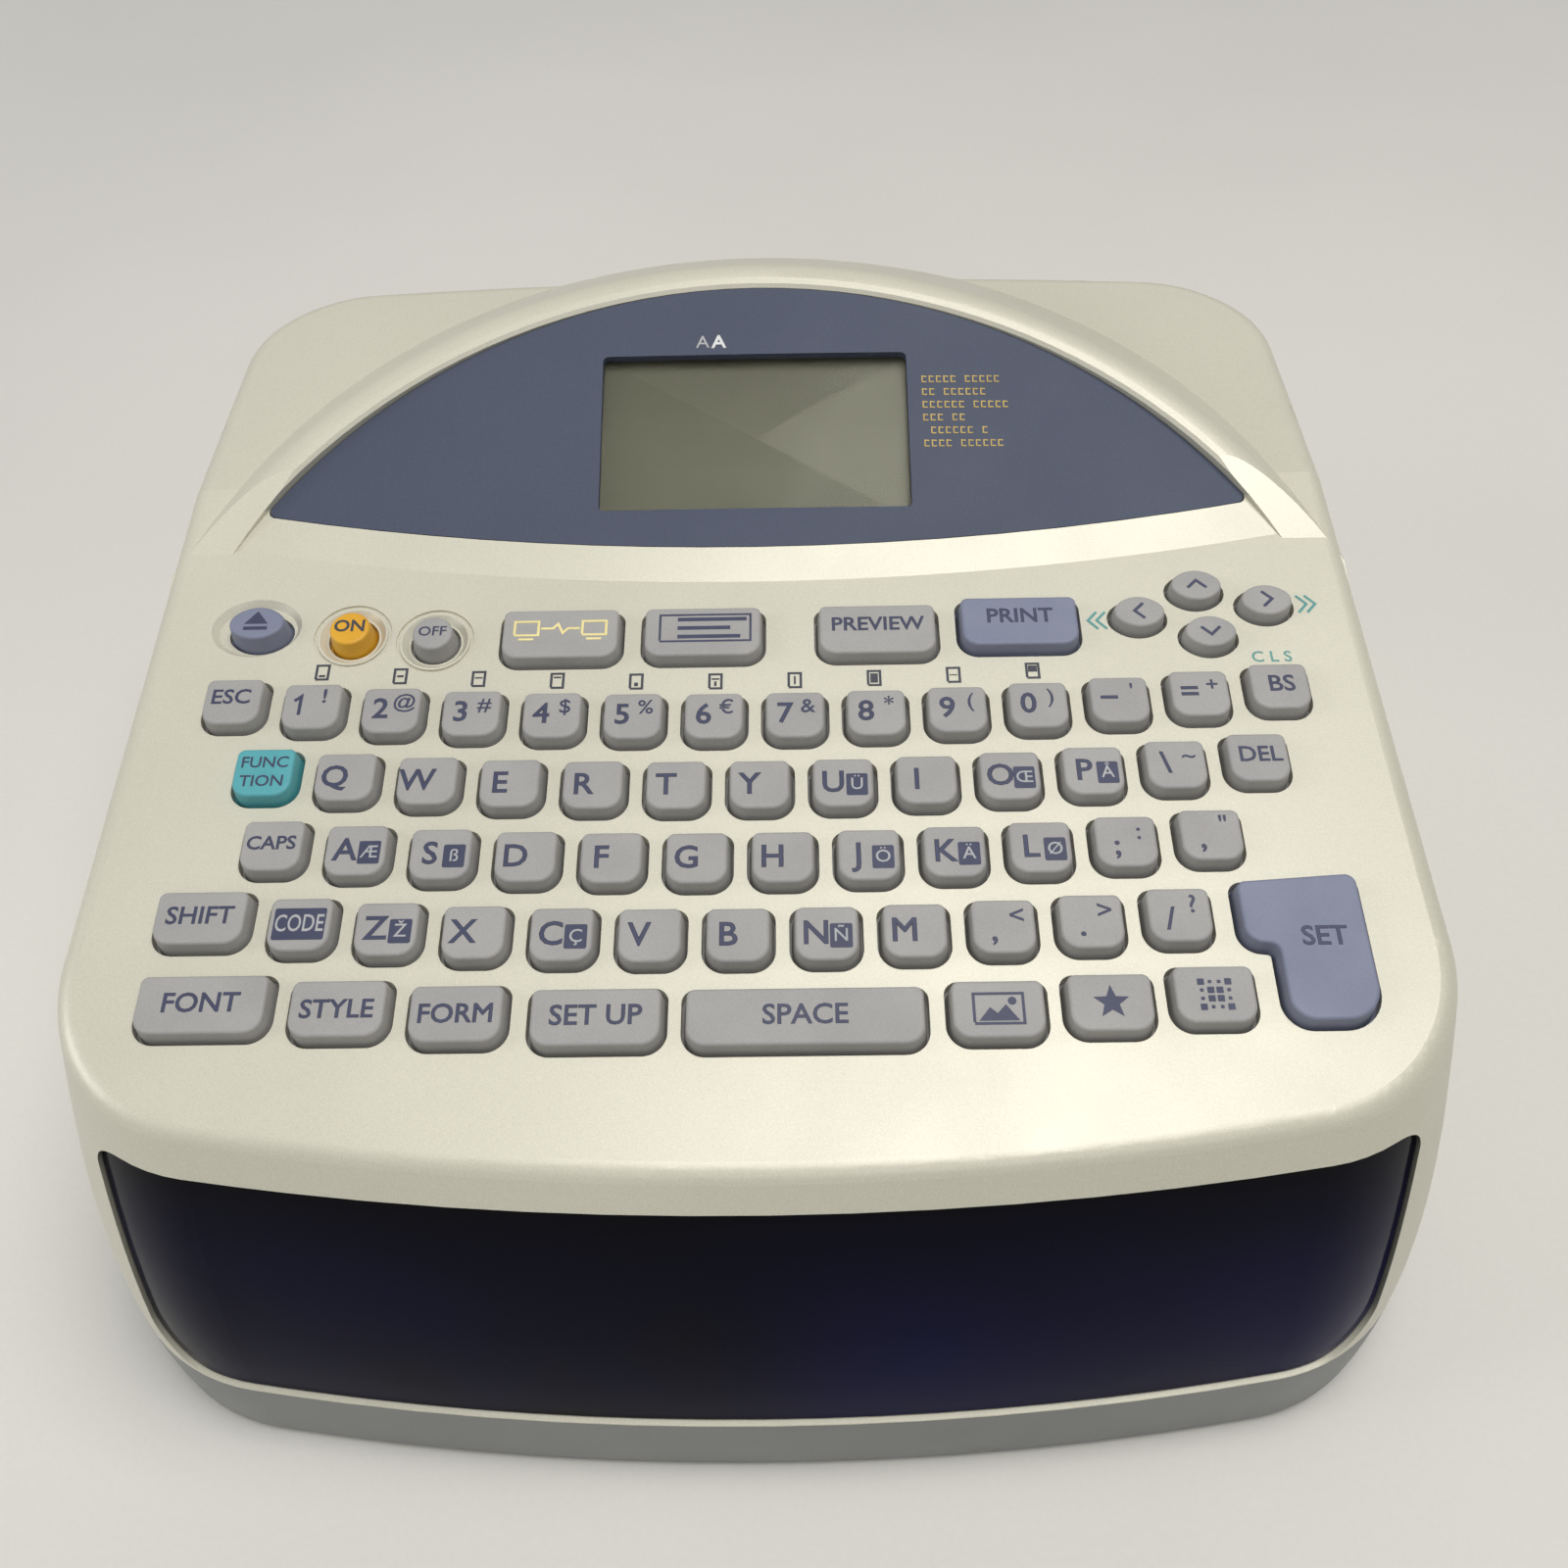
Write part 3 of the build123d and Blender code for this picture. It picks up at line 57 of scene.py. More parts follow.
def node(tree, kind, x, **settings):
    made = tree.nodes.new(kind)
    made.location = (x, -40 * len(tree.nodes))
    for key, value in settings.items():
        setattr(made, key, value)
    return made


def buildDriftGroup():
    # slow drift between two tones, with fine flecks on top
    tree, start, end = newGroup(
        "toneDrift",
        [("Tone", "NodeSocketColor", (0.5, 0.5, 0.5, 1)), ("Shade", "NodeSocketColor", (0.4, 0.4, 0.4, 1)),
         ("DriftScale", "NodeSocketFloat", 20), ("FleckScale", "NodeSocketFloat", 4000),
         ("FleckLow", "NodeSocketFloat", 0.95), ("FleckHigh", "NodeSocketFloat", 1.05)],
        [("Colour", "NodeSocketColor")])
    link = tree.links.new
    place = node(tree, "ShaderNodeTexCoord", -800)
    slow = node(tree, "ShaderNodeTexNoise", -600)
    slow.inputs["Detail"].default_value = 3
    fine = node(tree, "ShaderNodeTexNoise", -600)
    fine.inputs["Detail"].default_value = 1
    spread = node(tree, "ShaderNodeMapRange", -400)
    spread.inputs["From Min"].default_value = 0.35
    spread.inputs["From Max"].default_value = 0.65
    blend = node(tree, "ShaderNodeMix", -200, data_type="RGBA")
    flecks = node(tree, "ShaderNodeMapRange", -400)
    flecks.inputs["From Min"].default_value = 0.3
    flecks.inputs["From Max"].default_value = 0.7
    scale = node(tree, "ShaderNodeVectorMath", 0, operation="SCALE")
    link(place.outputs["Object"], slow.inputs["Vector"])
    link(place.outputs["Object"], fine.inputs["Vector"])
    link(start.outputs["DriftScale"], slow.inputs["Scale"])
    link(start.outputs["FleckScale"], fine.inputs["Scale"])
    link(slow.outputs["Fac"], spread.inputs["Value"])
    link(spread.outputs["Result"], blend.inputs[0])
    link(start.outputs["Tone"], blend.inputs[6])
    link(start.outputs["Shade"], blend.inputs[7])
    link(fine.outputs["Fac"], flecks.inputs["Value"])
    link(start.outputs["FleckLow"], flecks.inputs["To Min"])
    link(start.outputs["FleckHigh"], flecks.inputs["To Max"])
    link(blend.outputs[2], scale.inputs[0])
    link(flecks.outputs["Result"], scale.inputs["Scale"])
    link(scale.outputs["Vector"], end.inputs["Colour"])
    return tree


def buildGrainGroup():
    # moulded texture: a bump, and a roughness that wanders with it
    tree, start, end = newGroup(
        "mouldGrain",
        [("GrainScale", "NodeSocketFloat", 3000), ("GrainDepth", "NodeSocketFloat", 0.00001),
         ("RoughLow", "NodeSocketFloat", 0.4), ("RoughHigh", "NodeSocketFloat", 0.5),
         ("SmearScale", "NodeSocketFloat", 60)],
        [("Roughness", "NodeSocketFloat"), ("Normal", "NodeSocketVector")])
    link = tree.links.new
    place = node(tree, "ShaderNodeTexCoord", -800)
    grain = node(tree, "ShaderNodeTexNoise", -600)
    grain.inputs["Detail"].default_value = 2
    smear = node(tree, "ShaderNodeTexNoise", -600)
    smear.inputs["Detail"].default_value = 4
    rough = node(tree, "ShaderNodeMapRange", -400)
    rough.inputs["From Min"].default_value = 0.3
    rough.inputs["From Max"].default_value = 0.7
    bump = node(tree, "ShaderNodeBump", -400)
    link(place.outputs["Object"], grain.inputs["Vector"])
    link(place.outputs["Object"], smear.inputs["Vector"])
    link(start.outputs["GrainScale"], grain.inputs["Scale"])
    link(start.outputs["SmearScale"], smear.inputs["Scale"])
    link(smear.outputs["Fac"], rough.inputs["Value"])
    link(start.outputs["RoughLow"], rough.inputs["To Min"])
    link(start.outputs["RoughHigh"], rough.inputs["To Max"])
    link(grain.outputs["Fac"], bump.inputs["Height"])
    link(start.outputs["GrainDepth"], bump.inputs["Distance"])
    link(rough.outputs["Result"], end.inputs["Roughness"])
    link(bump.outputs["Normal"], end.inputs["Normal"])
    return tree


driftGroup = buildDriftGroup()
grainGroup = buildGrainGroup()


def rgb(red, green, blue):
    # written as seen, 0 to 255
    def linear(v):
        v /= 255
        return v / 12.92 if v <= 0.04045 else ((v + 0.055) / 1.055) ** 2.4
    return (linear(red), linear(green), linear(blue), 1)


def plainFinish(name, tone, shade, rough=(0.4, 0.5), grain=(3000, 0.00001), drift=20,
                fleck=(4000, 0.95, 1.05), **sockets):
    material = bpy.data.materials.new(name)
    material.use_nodes = True
    tree = material.node_tree
    shader = tree.nodes["Principled BSDF"]
    tones = node(tree, "ShaderNodeGroup", -500, node_tree=driftGroup)
    tones.inputs["Tone"].default_value = tone
    tones.inputs["Shade"].default_value = shade
    tones.inputs["DriftScale"].default_value = drift
    tones.inputs["FleckScale"].default_value = fleck[0]
    tones.inputs["FleckLow"].default_value = fleck[1]
    tones.inputs["FleckHigh"].default_value = fleck[2]
    skin = node(tree, "ShaderNodeGroup", -500, node_tree=grainGroup)
    skin.inputs["GrainScale"].default_value = grain[0]
    skin.inputs["GrainDepth"].default_value = grain[1]
    skin.inputs["RoughLow"].default_value = rough[0]
    skin.inputs["RoughHigh"].default_value = rough[1]
    tree.links.new(tones.outputs["Colour"], shader.inputs["Base Color"])
    tree.links.new(skin.outputs["Roughness"], shader.inputs["Roughness"])
    tree.links.new(skin.outputs["Normal"], shader.inputs["Normal"])
    for label, value in sockets.items():
        shader.inputs[label.replace("_", " ")].default_value = value
    return material


finishes = {
    "pearlCasing": plainFinish(
        "pearlCasing", rgb(214, 211, 194), rgb(206, 203, 186), rough=(0.36, 0.44), grain=(2600, 0.000012),
        drift=9, fleck=(5200, 0.92, 1.06), Metallic=0.15, Coat_Weight=0.2, Coat_Roughness=0.3),
    # bottom case: its own silver grey, darkened well below it as painted shade for the lip under the bulging
    # front
    "lipSilverPaintedShade": plainFinish(
        "lipSilverPaintedShade", rgb(132, 134, 133), rgb(125, 127, 127), rough=(0.36, 0.46), grain=(2600, 0.000012),
        drift=12, fleck=(5200, 0.93, 1.06), Metallic=0.2),
    "slatePanel": plainFinish(
        "slatePanel", rgb(77, 83, 101), rgb(72, 78, 96), rough=(0.5, 0.58), grain=(3400, 0.000008),
        drift=14, fleck=(6000, 0.88, 1.12), Specular_IOR_Level=0.22),
    "greyKey": plainFinish(
        "greyKey", rgb(163, 161, 159), rgb(156, 154, 153), rough=(0.55, 0.66), grain=(4200, 0.000012),
        drift=90, fleck=(5000, 0.93, 1.07)),
    "blueKey": plainFinish(
        "blueKey", rgb(126, 131, 152), rgb(119, 124, 146), rough=(0.52, 0.62), grain=(4200, 0.000012),
        drift=80, fleck=(5000, 0.94, 1.06)),
    "amberKey": plainFinish(
        "amberKey", rgb(226, 172, 50), rgb(218, 161, 42), rough=(0.42, 0.5), grain=(4200, 0.00001),
        drift=150, fleck=(5000, 0.96, 1.04)),
    "tealKey": plainFinish(
        "tealKey", rgb(84, 164, 172), rgb(76, 155, 163), rough=(0.5, 0.6), grain=(4200, 0.000012),
        drift=120, fleck=(5000, 0.94, 1.06)),
    "blackPlastic": plainFinish(
        "blackPlastic", rgb(44, 44, 47), rgb(36, 36, 39), rough=(0.45, 0.6), grain=(2500, 0.00002), drift=30),
    "trayPlastic": plainFinish(
        "trayPlastic", rgb(74, 76, 82), rgb(66, 68, 74), rough=(0.5, 0.62), grain=(2200, 0.00002), drift=18),
    "whitePlastic": plainFinish(
        "whitePlastic", rgb(226, 224, 214), rgb(216, 214, 203), rough=(0.4, 0.5), grain=(2500, 0.00001),
        drift=60),
    "softRubber": plainFinish(
        "softRubber", rgb(50, 50, 50), rgb(40, 40, 41), rough=(0.75, 0.9), grain=(1800, 0.00004), drift=50),
    "chipResin": plainFinish(
        "chipResin", rgb(32, 32, 34), rgb(26, 26, 28), rough=(0.4, 0.55), grain=(5000, 0.00001), drift=200),
    "groundSteel": plainFinish(
        "groundSteel", rgb(205, 206, 208), rgb(190, 191, 194), rough=(0.14, 0.24), grain=(3000, 0.000004),
        drift=70, fleck=(3000, 0.97, 1.02), Metallic=1.0),
    "screwSteel": plainFinish(
        "screwSteel", rgb(176, 178, 182), rgb(150, 152, 158), rough=(0.28, 0.42), grain=(2400, 0.00001),
        drift=300, fleck=(2600, 0.94, 1.04), Metallic=1.0),
}


def sheetSteelFinish():
    # plated sheet: brushed along X, with a slight spangle
    material = plainFinish("sheetSteel", rgb(188, 190, 190), rgb(172, 175, 177), rough=(0.3, 0.42),
                           grain=(1500, 0.00001), drift=35, fleck=(800, 0.95, 1.04), Metallic=1.0)
    tree = material.node_tree
    shader = tree.nodes["Principled BSDF"]
    place = node(tree, "ShaderNodeTexCoord", -900)
    stretch = node(tree, "ShaderNodeMapping", -700)
    stretch.inputs["Scale"].default_value = (40, 4000, 4000)
    brush = node(tree, "ShaderNodeTexNoise", -500)
    brush.inputs["Scale"].default_value = 1
    bump = node(tree, "ShaderNodeBump", -300)
    bump.inputs["Distance"].default_value = 0.00002
    tree.links.new(place.outputs["Object"], stretch.inputs["Vector"])
    tree.links.new(stretch.outputs["Vector"], brush.inputs["Vector"])
    tree.links.new(brush.outputs["Fac"], bump.inputs["Height"])
    tree.links.new(bump.outputs["Normal"], shader.inputs["Normal"])
    return material


def windowFinish():
    # deep navy moulding, near black towards the top as painted shade under the brow and bluer low down as
    # painted light, in soft clouds, with a few rubbed marks
    look = {"deep": rgb(5, 5, 14), "blue": rgb(9, 9, 42), "paintedLightBlue": rgb(13, 14, 62), "gloss": 0.06,
            "paintedShadeFrom": 0.060, "paintedLightFrom": 0.018, "cloud": 14, "marks": 70, "rough": (0.12, 0.24)}
    material = bpy.data.materials.new("navyWindow")
    material.use_nodes = True
    tree = material.node_tree
    link = tree.links.new
    shader = tree.nodes["Principled BSDF"]
    place = node(tree, "ShaderNodeTexCoord", -1300)
    axes = node(tree, "ShaderNodeSeparateXYZ", -1100)
    # by height: painted shade towards the top under the brow, painted light low down
    height = node(tree, "ShaderNodeMapRange", -900)
    height.inputs["From Min"].default_value = look["paintedShadeFrom"]
    height.inputs["From Max"].default_value = look["paintedLightFrom"]
    cloud = node(tree, "ShaderNodeTexNoise", -1100)
    cloud.inputs["Scale"].default_value = look["cloud"]
    cloud.inputs["Detail"].default_value = 2
    cloudRange = node(tree, "ShaderNodeMapRange", -900)
    cloudRange.inputs["From Min"].default_value = 0.35
    cloudRange.inputs["From Max"].default_value = 0.7
    together = node(tree, "ShaderNodeMath", -700, operation="MULTIPLY")
    ramp = node(tree, "ShaderNodeValToRGB", -500)
    ramp.color_ramp.elements[0].color = look["deep"]
    ramp.color_ramp.elements[1].color = look["paintedLightBlue"]
    middle = ramp.color_ramp.elements.new(0.35)
    middle.color = look["blue"]
    marks = node(tree, "ShaderNodeTexNoise", -900)
    marks.inputs["Scale"].default_value = look["marks"]
    marks.inputs["Detail"].default_value = 6
    rubbed = node(tree, "ShaderNodeMapRange", -700)
    rubbed.inputs["From Min"].default_value = 0.55
    rubbed.inputs["From Max"].default_value = 0.75
    rubbed.inputs["To Min"].default_value = look["rough"][0]
    rubbed.inputs["To Max"].default_value = look["rough"][1]
    wave = node(tree, "ShaderNodeBump", -300)
    wave.inputs["Distance"].default_value = 0.00001
    link(place.outputs["Object"], axes.inputs["Vector"])
    link(place.outputs["Object"], cloud.inputs["Vector"])
    link(place.outputs["Object"], marks.inputs["Vector"])
    link(axes.outputs["Z"], height.inputs["Value"])
    link(cloud.outputs["Fac"], cloudRange.inputs["Value"])
    link(height.outputs["Result"], together.inputs[0])
    link(cloudRange.outputs["Result"], together.inputs[1])
    link(together.outputs["Value"], ramp.inputs["Fac"])
    link(ramp.outputs["Color"], shader.inputs["Base Color"])
    link(marks.outputs["Fac"], rubbed.inputs["Value"])
    link(rubbed.outputs["Result"], shader.inputs["Roughness"])
    link(cloud.outputs["Fac"], wave.inputs["Height"])
    link(wave.outputs["Normal"], shader.inputs["Normal"])
    shader.inputs["Specular IOR Level"].default_value = look["gloss"]
    return material


def screenFinish():
    # unlit liquid crystal: olive grey with fine flecks
    return plainFinish("screenGrey", rgb(152, 149, 129), rgb(145, 142, 122), rough=(0.35, 0.42),
                       grain=(3000, 0.000004), drift=30, fleck=(5000, 0.95, 1.05))


def coverFinish():
    # thin clear cover with a little haze
    look = {"tint": (0.9, 0.92, 0.9, 1), "bend": 1.1, "haze": 120, "film": (0.02, 0.12)}
    material = bpy.data.materials.new("clearCover")
    material.use_nodes = True
    tree = material.node_tree
    shader = tree.nodes["Principled BSDF"]
    shader.inputs["Base Color"].default_value = look["tint"]
    shader.inputs["Transmission Weight"].default_value = 1.0
    shader.inputs["IOR"].default_value = look["bend"]
    place = node(tree, "ShaderNodeTexCoord", -700)
    haze = node(tree, "ShaderNodeTexNoise", -500)
    haze.inputs["Scale"].default_value = look["haze"]
    film = node(tree, "ShaderNodeMapRange", -300)
    film.inputs["To Min"].default_value = look["film"][0]
    film.inputs["To Max"].default_value = look["film"][1]
    tree.links.new(place.outputs["Object"], haze.inputs["Vector"])
    tree.links.new(haze.outputs["Fac"], film.inputs["Value"])
    tree.links.new(film.outputs["Result"], shader.inputs["Roughness"])
    return material


def boardFinish():
    # green mask over copper: traces show as a lighter web
    material = plainFinish("boardGreen", rgb(36, 92, 58), rgb(30, 82, 51), rough=(0.32, 0.42),
                           grain=(1500, 0.00001), drift=40)
    tree = material.node_tree
    link = tree.links.new
    shader = tree.nodes["Principled BSDF"]
    tones = [n for n in tree.nodes if n.type == "GROUP" and n.node_tree == driftGroup][0]
    place = node(tree, "ShaderNodeTexCoord", -1000)
    web = node(tree, "ShaderNodeTexVoronoi", -800, feature="DISTANCE_TO_EDGE", distance="CHEBYCHEV")
    web.inputs["Scale"].default_value = 260
    web.inputs["Randomness"].default_value = 0.7
    edge = node(tree, "ShaderNodeMapRange", -600)
    edge.inputs["From Min"].default_value = 0.05
    edge.inputs["From Max"].default_value = 0.09
    edge.inputs["To Min"].default_value = 0.7
    edge.inputs["To Max"].default_value = 0.0
    blend = node(tree, "ShaderNodeMix", -200, data_type="RGBA")
    blend.inputs[7].default_value = rgb(70, 132, 84)
    link(place.outputs["Object"], web.inputs["Vector"])
    link(web.outputs["Distance"], edge.inputs["Value"])
    link(edge.outputs["Result"], blend.inputs[0])
    link(tones.outputs["Colour"], blend.inputs[6])
    link(blend.outputs[2], shader.inputs["Base Color"])
    return material


finishes["sheetSteel"] = sheetSteelFinish()
finishes["navyWindow"] = windowFinish()
finishes["screenGrey"] = screenFinish()
finishes["clearCover"] = coverFinish()
finishes["boardGreen"] = boardFinish()
inks = {
    "navyInk": plainFinish("navyInk", rgb(62, 66, 92), rgb(56, 60, 86), rough=(0.5, 0.6), drift=200),
    "paleInk": plainFinish("paleInk", rgb(176, 176, 178), rgb(166, 167, 170), rough=(0.5, 0.6), drift=200),
    "whiteInk": plainFinish("whiteInk", rgb(222, 222, 222), rgb(212, 213, 214), rough=(0.5, 0.6), drift=200),
    "goldInk": plainFinish("goldInk", rgb(196, 168, 92), rgb(180, 152, 80), rough=(0.5, 0.6), drift=400),
    "creamInk": plainFinish("creamInk", rgb(240, 226, 160), rgb(230, 216, 150), rough=(0.5, 0.6), drift=200),
    "seaInk": plainFinish("seaInk", rgb(96, 158, 154), rgb(88, 148, 146), rough=(0.5, 0.6), drift=200),
    "darkInk": plainFinish("darkInk", rgb(66, 68, 78), rgb(58, 60, 70), rough=(0.5, 0.6), drift=200),
}

nodeFinish = {
    "top_case": "pearlCasing", "bottom_case": "lipSilverPaintedShade", "display_panel": "slatePanel",
    "lcd_glass": "clearCover", "lcd_module": "screenGrey", "keypad_sheet": "softRubber",
    "key_board": "boardGreen", "front_window": "navyWindow", "disc_tray": "trayPlastic",
    "disc_hub": "whitePlastic", "disc_mat": "softRubber", "tray_screws": "screwSteel",
    "drawer_rail_left": "whitePlastic", "drawer_rail_right": "whitePlastic", "chassis_frame": "sheetSteel",
    "guide_shaft_front": "groundSteel", "guide_shaft_rear": "groundSteel", "carriage": "blackPlastic",
    "ribbon_cassette": "trayPlastic", "supply_spool": "whitePlastic", "takeup_spool": "whitePlastic",
    "head_arm": "sheetSteel", "print_head": "chipResin", "drive_pulley": "whitePlastic",
    "drive_gear": "whitePlastic", "idler_pulley": "whitePlastic", "drive_belt": "softRubber",
    "motor_pinion": "screwSteel", "carriage_motor": "sheetSteel", "latch_lever": "whitePlastic",
    "latch_pin": "groundSteel", "latch_spring": "screwSteel", "main_board": "boardGreen",
    "board_chips": "chipResin", "dc_jack": "blackPlastic", "usb_port": "sheetSteel",
    "case_screws": "screwSteel", "board_screws": "screwSteel", "rubber_feet": "softRubber",
    "eject_key": "blueKey", "print_key": "blueKey", "set_key": "blueKey", "on_key": "amberKey",
    "function_key": "tealKey",
}
for name, obj in nodes.items():
    obj.data.materials.clear()
    obj.data.materials.append(finishes[nodeFinish.get(name, "greyKey")])
print("finishes assigned")


# Printing on the keys, in the deck's own frame and in millimetres.
keyTop = 2.3
ink = {"lift": 0.015, "thickness": 0.03, "rowBow": 817.0, "pitch": 12.5, "row": 12.47}
patchTop = keyTop + ink["thickness"]


def textMesh(words, size, weight=0.05, tall=1.0):
    # the weight is a bevel that widens the strokes, flattened afterwards
    curve = bpy.data.curves.new("words", "FONT")
    curve.body = words
    curve.size = size * mm
    curve.align_x = "CENTER"
    curve.align_y = "CENTER"
    curve.bevel_depth = weight * mm
    curve.bevel_resolution = 0
    curve.resolution_u = 3
    holder = bpy.data.objects.new("words", curve)
    bpy.context.scene.collection.objects.link(holder)
    depsgraph = bpy.context.evaluated_depsgraph_get()
    mesh = bpy.data.meshes.new_from_object(holder.evaluated_get(depsgraph))
    bpy.data.objects.remove(holder)
    bpy.data.curves.remove(curve)
    mesh.transform(Matrix.Diagonal((1, tall, ink["thickness"] / (2 * weight), 1)))
    return mesh


def plateMesh(points):
    # flat outline in millimetres, made a thin plate
    half = ink["thickness"] / 2 * mm
    bm = bmesh.new()
    ring = [bm.verts.new((x * mm, y * mm, half)) for x, y in points]
    top = bm.faces.new(ring)
    made = bmesh.ops.extrude_face_region(bm, geom=[top])
    moved = [v for v in made["geom"] if isinstance(v, bmesh.types.BMVert)]
    bmesh.ops.translate(bm, verts=moved, vec=(0, 0, -2 * half))
    bmesh.ops.recalc_face_normals(bm, faces=bm.faces)
    mesh = bpy.data.meshes.new("plate")
    bm.to_mesh(mesh)
    bm.free()
    return mesh


def roundedBox(width, height, radius, steps=5):
    points = []
    for cx, cy, start in ((1, 1, 0), (-1, 1, 90), (-1, -1, 180), (1, -1, 270)):
        for i in range(steps + 1):
            angle = math.radians(start + 90 * i / steps)
            points.append((cx * (width / 2 - radius) + radius * math.cos(angle),
                           cy * (height / 2 - radius) + radius * math.sin(angle)))
    return points


def bar(x0, x1, y0, y1):
    return [(x0, y0), (x1, y0), (x1, y1), (x0, y1)]


def stroke(points, width):
    # open line of even width, as one mitred outline
    left = []
    right = []
    for i, (x, y) in enumerate(points):
        a = Vector(points[max(i - 1, 0)])
        b = Vector(points[min(i + 1, len(points) - 1)])
        here = Vector((x, y))
        if 0 < i < len(points) - 1:
            d1 = (here - a).normalized()
            d2 = (b - here).normalized()
            along = (d1 + d2).normalized()
            side = Vector((-along.y, along.x)) / max(0.35, along.dot(d1))
        else:
            along = (b - a).normalized()
            side = Vector((-along.y, along.x))
        left.append(here + side * width / 2)
        right.append(here - side * width / 2)
    return [tuple(p) for p in left + right[::-1]]


class Legend:
    # gathers the printing on one body into one mesh
    def __init__(self, name, body, base):
        self.name = name
        self.body = body
        self.base = base
        self.mesh = bmesh.new()
        self.inks = []

    def add(self, mesh, x, y, z, inkName, turn=0.0):
        if inkName not in self.inks:
            self.inks.append(inkName)
        height = z + ink["lift"] + ink["thickness"] / 2
        place = self.base @ Matrix.Translation((x * mm, y * mm, height * mm))
        mesh.transform(place @ Matrix.Rotation(math.radians(turn), 4, "Z"))
        before = len(self.mesh.faces)
        self.mesh.from_mesh(mesh)
        self.mesh.faces.ensure_lookup_table()
        for face in self.mesh.faces[before:]:
            face.material_index = self.inks.index(inkName)
        bpy.data.meshes.remove(mesh)

    def words(self, text, x, y, size, inkName="navyInk", z=keyTop, weight=0.07, tall=1.0):
        self.add(textMesh(text, size, weight, tall), x, y, z, inkName)

    def shape(self, points, x, y, inkName="navyInk", z=keyTop, turn=0.0):
        self.add(plateMesh(points), x, y, z, inkName, turn)

    def finish(self):
        data = bpy.data.meshes.new(self.name)
        self.mesh.to_mesh(data)
        self.mesh.free()
        obj = bpy.data.objects.new(self.name, data)
        bpy.context.scene.collection.objects.link(obj)
        for inkName in self.inks:
            data.materials.append(inks[inkName])
        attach(obj, self.body)


def rowPlace(x, row):
    return x, x**2 / (2 * ink["rowBow"]) - row * ink["row"]


spots = {  # place from the key's middle, size and stroke weight
    "digit": (-1.6, 0.1, 5.2, 0.09), "sign": (1.95, 1.4, 3.6, 0.035), "bang": (1.9, 1.7, 3.6, 0.07),
    "letter": (-1.5, -0.1, 5.2, 0.09), "accent": (2.05, -0.45, 2.9, 0.02),
    "first": (0, 1.65, 2.75, 0.03), "second": (0, -1.65, 2.75, 0.03),
    "low": (-1.4, -0.8, 5.0, 0.07), "high": (1.9, 1.5, 4.0, 0.04),
}
patch = {"accent": (3.2, 3.8), "word": (7.4, 5.0), "corner": 0.3, "size": 2.55, "weight": 0.03, "tall": 1.5}
oneMark = {"x": -1.9, "y": 0.1, "line": 0.52, "points": [(-0.8, 0.85), (0.15, 1.7), (0.15, -1.75)]}
wordWeight = 0.06


def spotWords(legend, words, cx, cy, spot, inkName="navyInk", z=keyTop):
    dx, dy, size, weight = spots[spot]
    legend.words(words, cx + dx, cy + dy, size, inkName, z, weight)


def keyMark(legend, x, row, mark):
    cx, cy = rowPlace(x, row)
    kind = mark[0]
    if kind == "one":
        legend.shape(stroke(oneMark["points"], oneMark["line"]), cx + oneMark["x"], cy + oneMark["y"])
        spotWords(legend, "!", cx, cy, "bang")
    elif kind == "pair":                                 # digit with its shifted sign
        spotWords(legend, mark[1], cx, cy, "digit")
        spotWords(legend, mark[2], cx, cy, "sign")
    elif kind == "letter":
        spotWords(legend, mark[1], cx, cy, "letter")
        if len(mark) > 2:                                # accented letter on a dark patch
            dx, dy = spots["accent"][:2]
            legend.shape(roundedBox(*patch["accent"], patch["corner"]), cx + dx, cy + dy)
            spotWords(legend, mark[2], cx, cy, "accent", "paleInk", patchTop)
    elif kind == "word":
        legend.words(mark[1], cx + mark[3], cy + mark[4], mark[2], weight=wordWeight)
    elif kind == "stack":
        spotWords(legend, mark[1], cx, cy, "first")
        spotWords(legend, mark[2], cx, cy, "second")
    elif kind == "patch":
        legend.shape(roundedBox(*patch["word"], patch["corner"]), cx, cy)
        legend.words(mark[1], cx, cy, patch["size"], "paleInk", patchTop, patch["weight"], patch["tall"])
    elif kind == "signs":
        spotWords(legend, mark[1], cx, cy, "low")
        spotWords(legend, mark[2], cx, cy, "high")


numberMarks = [("word", "ESC", 3.8, -0.3, 0.7), ("one",)]
numberMarks += [("pair", a, b) for a, b in zip("234567890", "@#$%€&*()")]
numberMarks += [("pair", "−", "'"), ("pair", "=", "+"), ("word", "BS", 4.2, 0.2, 0.3)]
upperMarks = [("letter", c) for c in "QWERTY"]
upperMarks += [("letter", "U", "Ü"), ("letter", "I"), ("letter", "O", "Œ"), ("letter", "P", "Å"),
               ("pair", "\\", "~"), ("word", "DEL", 3.8, 0.2, 0.4)]
homeMarks = [("word", "CAPS", 3.15, -0.1, 0.3), ("letter", "A", "Æ"), ("letter", "S", "ß"), ("letter", "D"),
             ("letter", "F"), ("letter", "G"), ("letter", "H"), ("letter", "J", "Ö"), ("letter", "K", "Ä"),
             ("letter", "L", "Ø"), ("signs", ";", ":"), ("signs", ",", "\"")]
lowerMarks = [("patch", "CODE"), ("letter", "Z", "Ž"), ("letter", "X"), ("letter", "C", "Ç"),
              ("letter", "V"), ("letter", "B"), ("letter", "N", "Ñ"), ("letter", "M"),
              ("signs", ",", "<"), ("signs", ".", ">"), ("signs", "/", "?")]
rows = [
    ("number_keys", -81.25, 0, numberMarks),
    ("function_key", -74.2, 1, [("stack", "FUNC", "TION")]),
    ("upper_letter_keys", -61.7, 1, upperMarks),
    ("home_letter_keys", -70.8, 2, homeMarks),
    ("shift_key", -79.2, 3, [("word", "SHIFT", 3.9, 0, 0.2)]),
    ("lower_letter_keys", -64.7, 3, lowerMarks),
    ("space_key", 7.1, 4, [("word", "SPACE", 4.2, 0, 0.1)]),
]
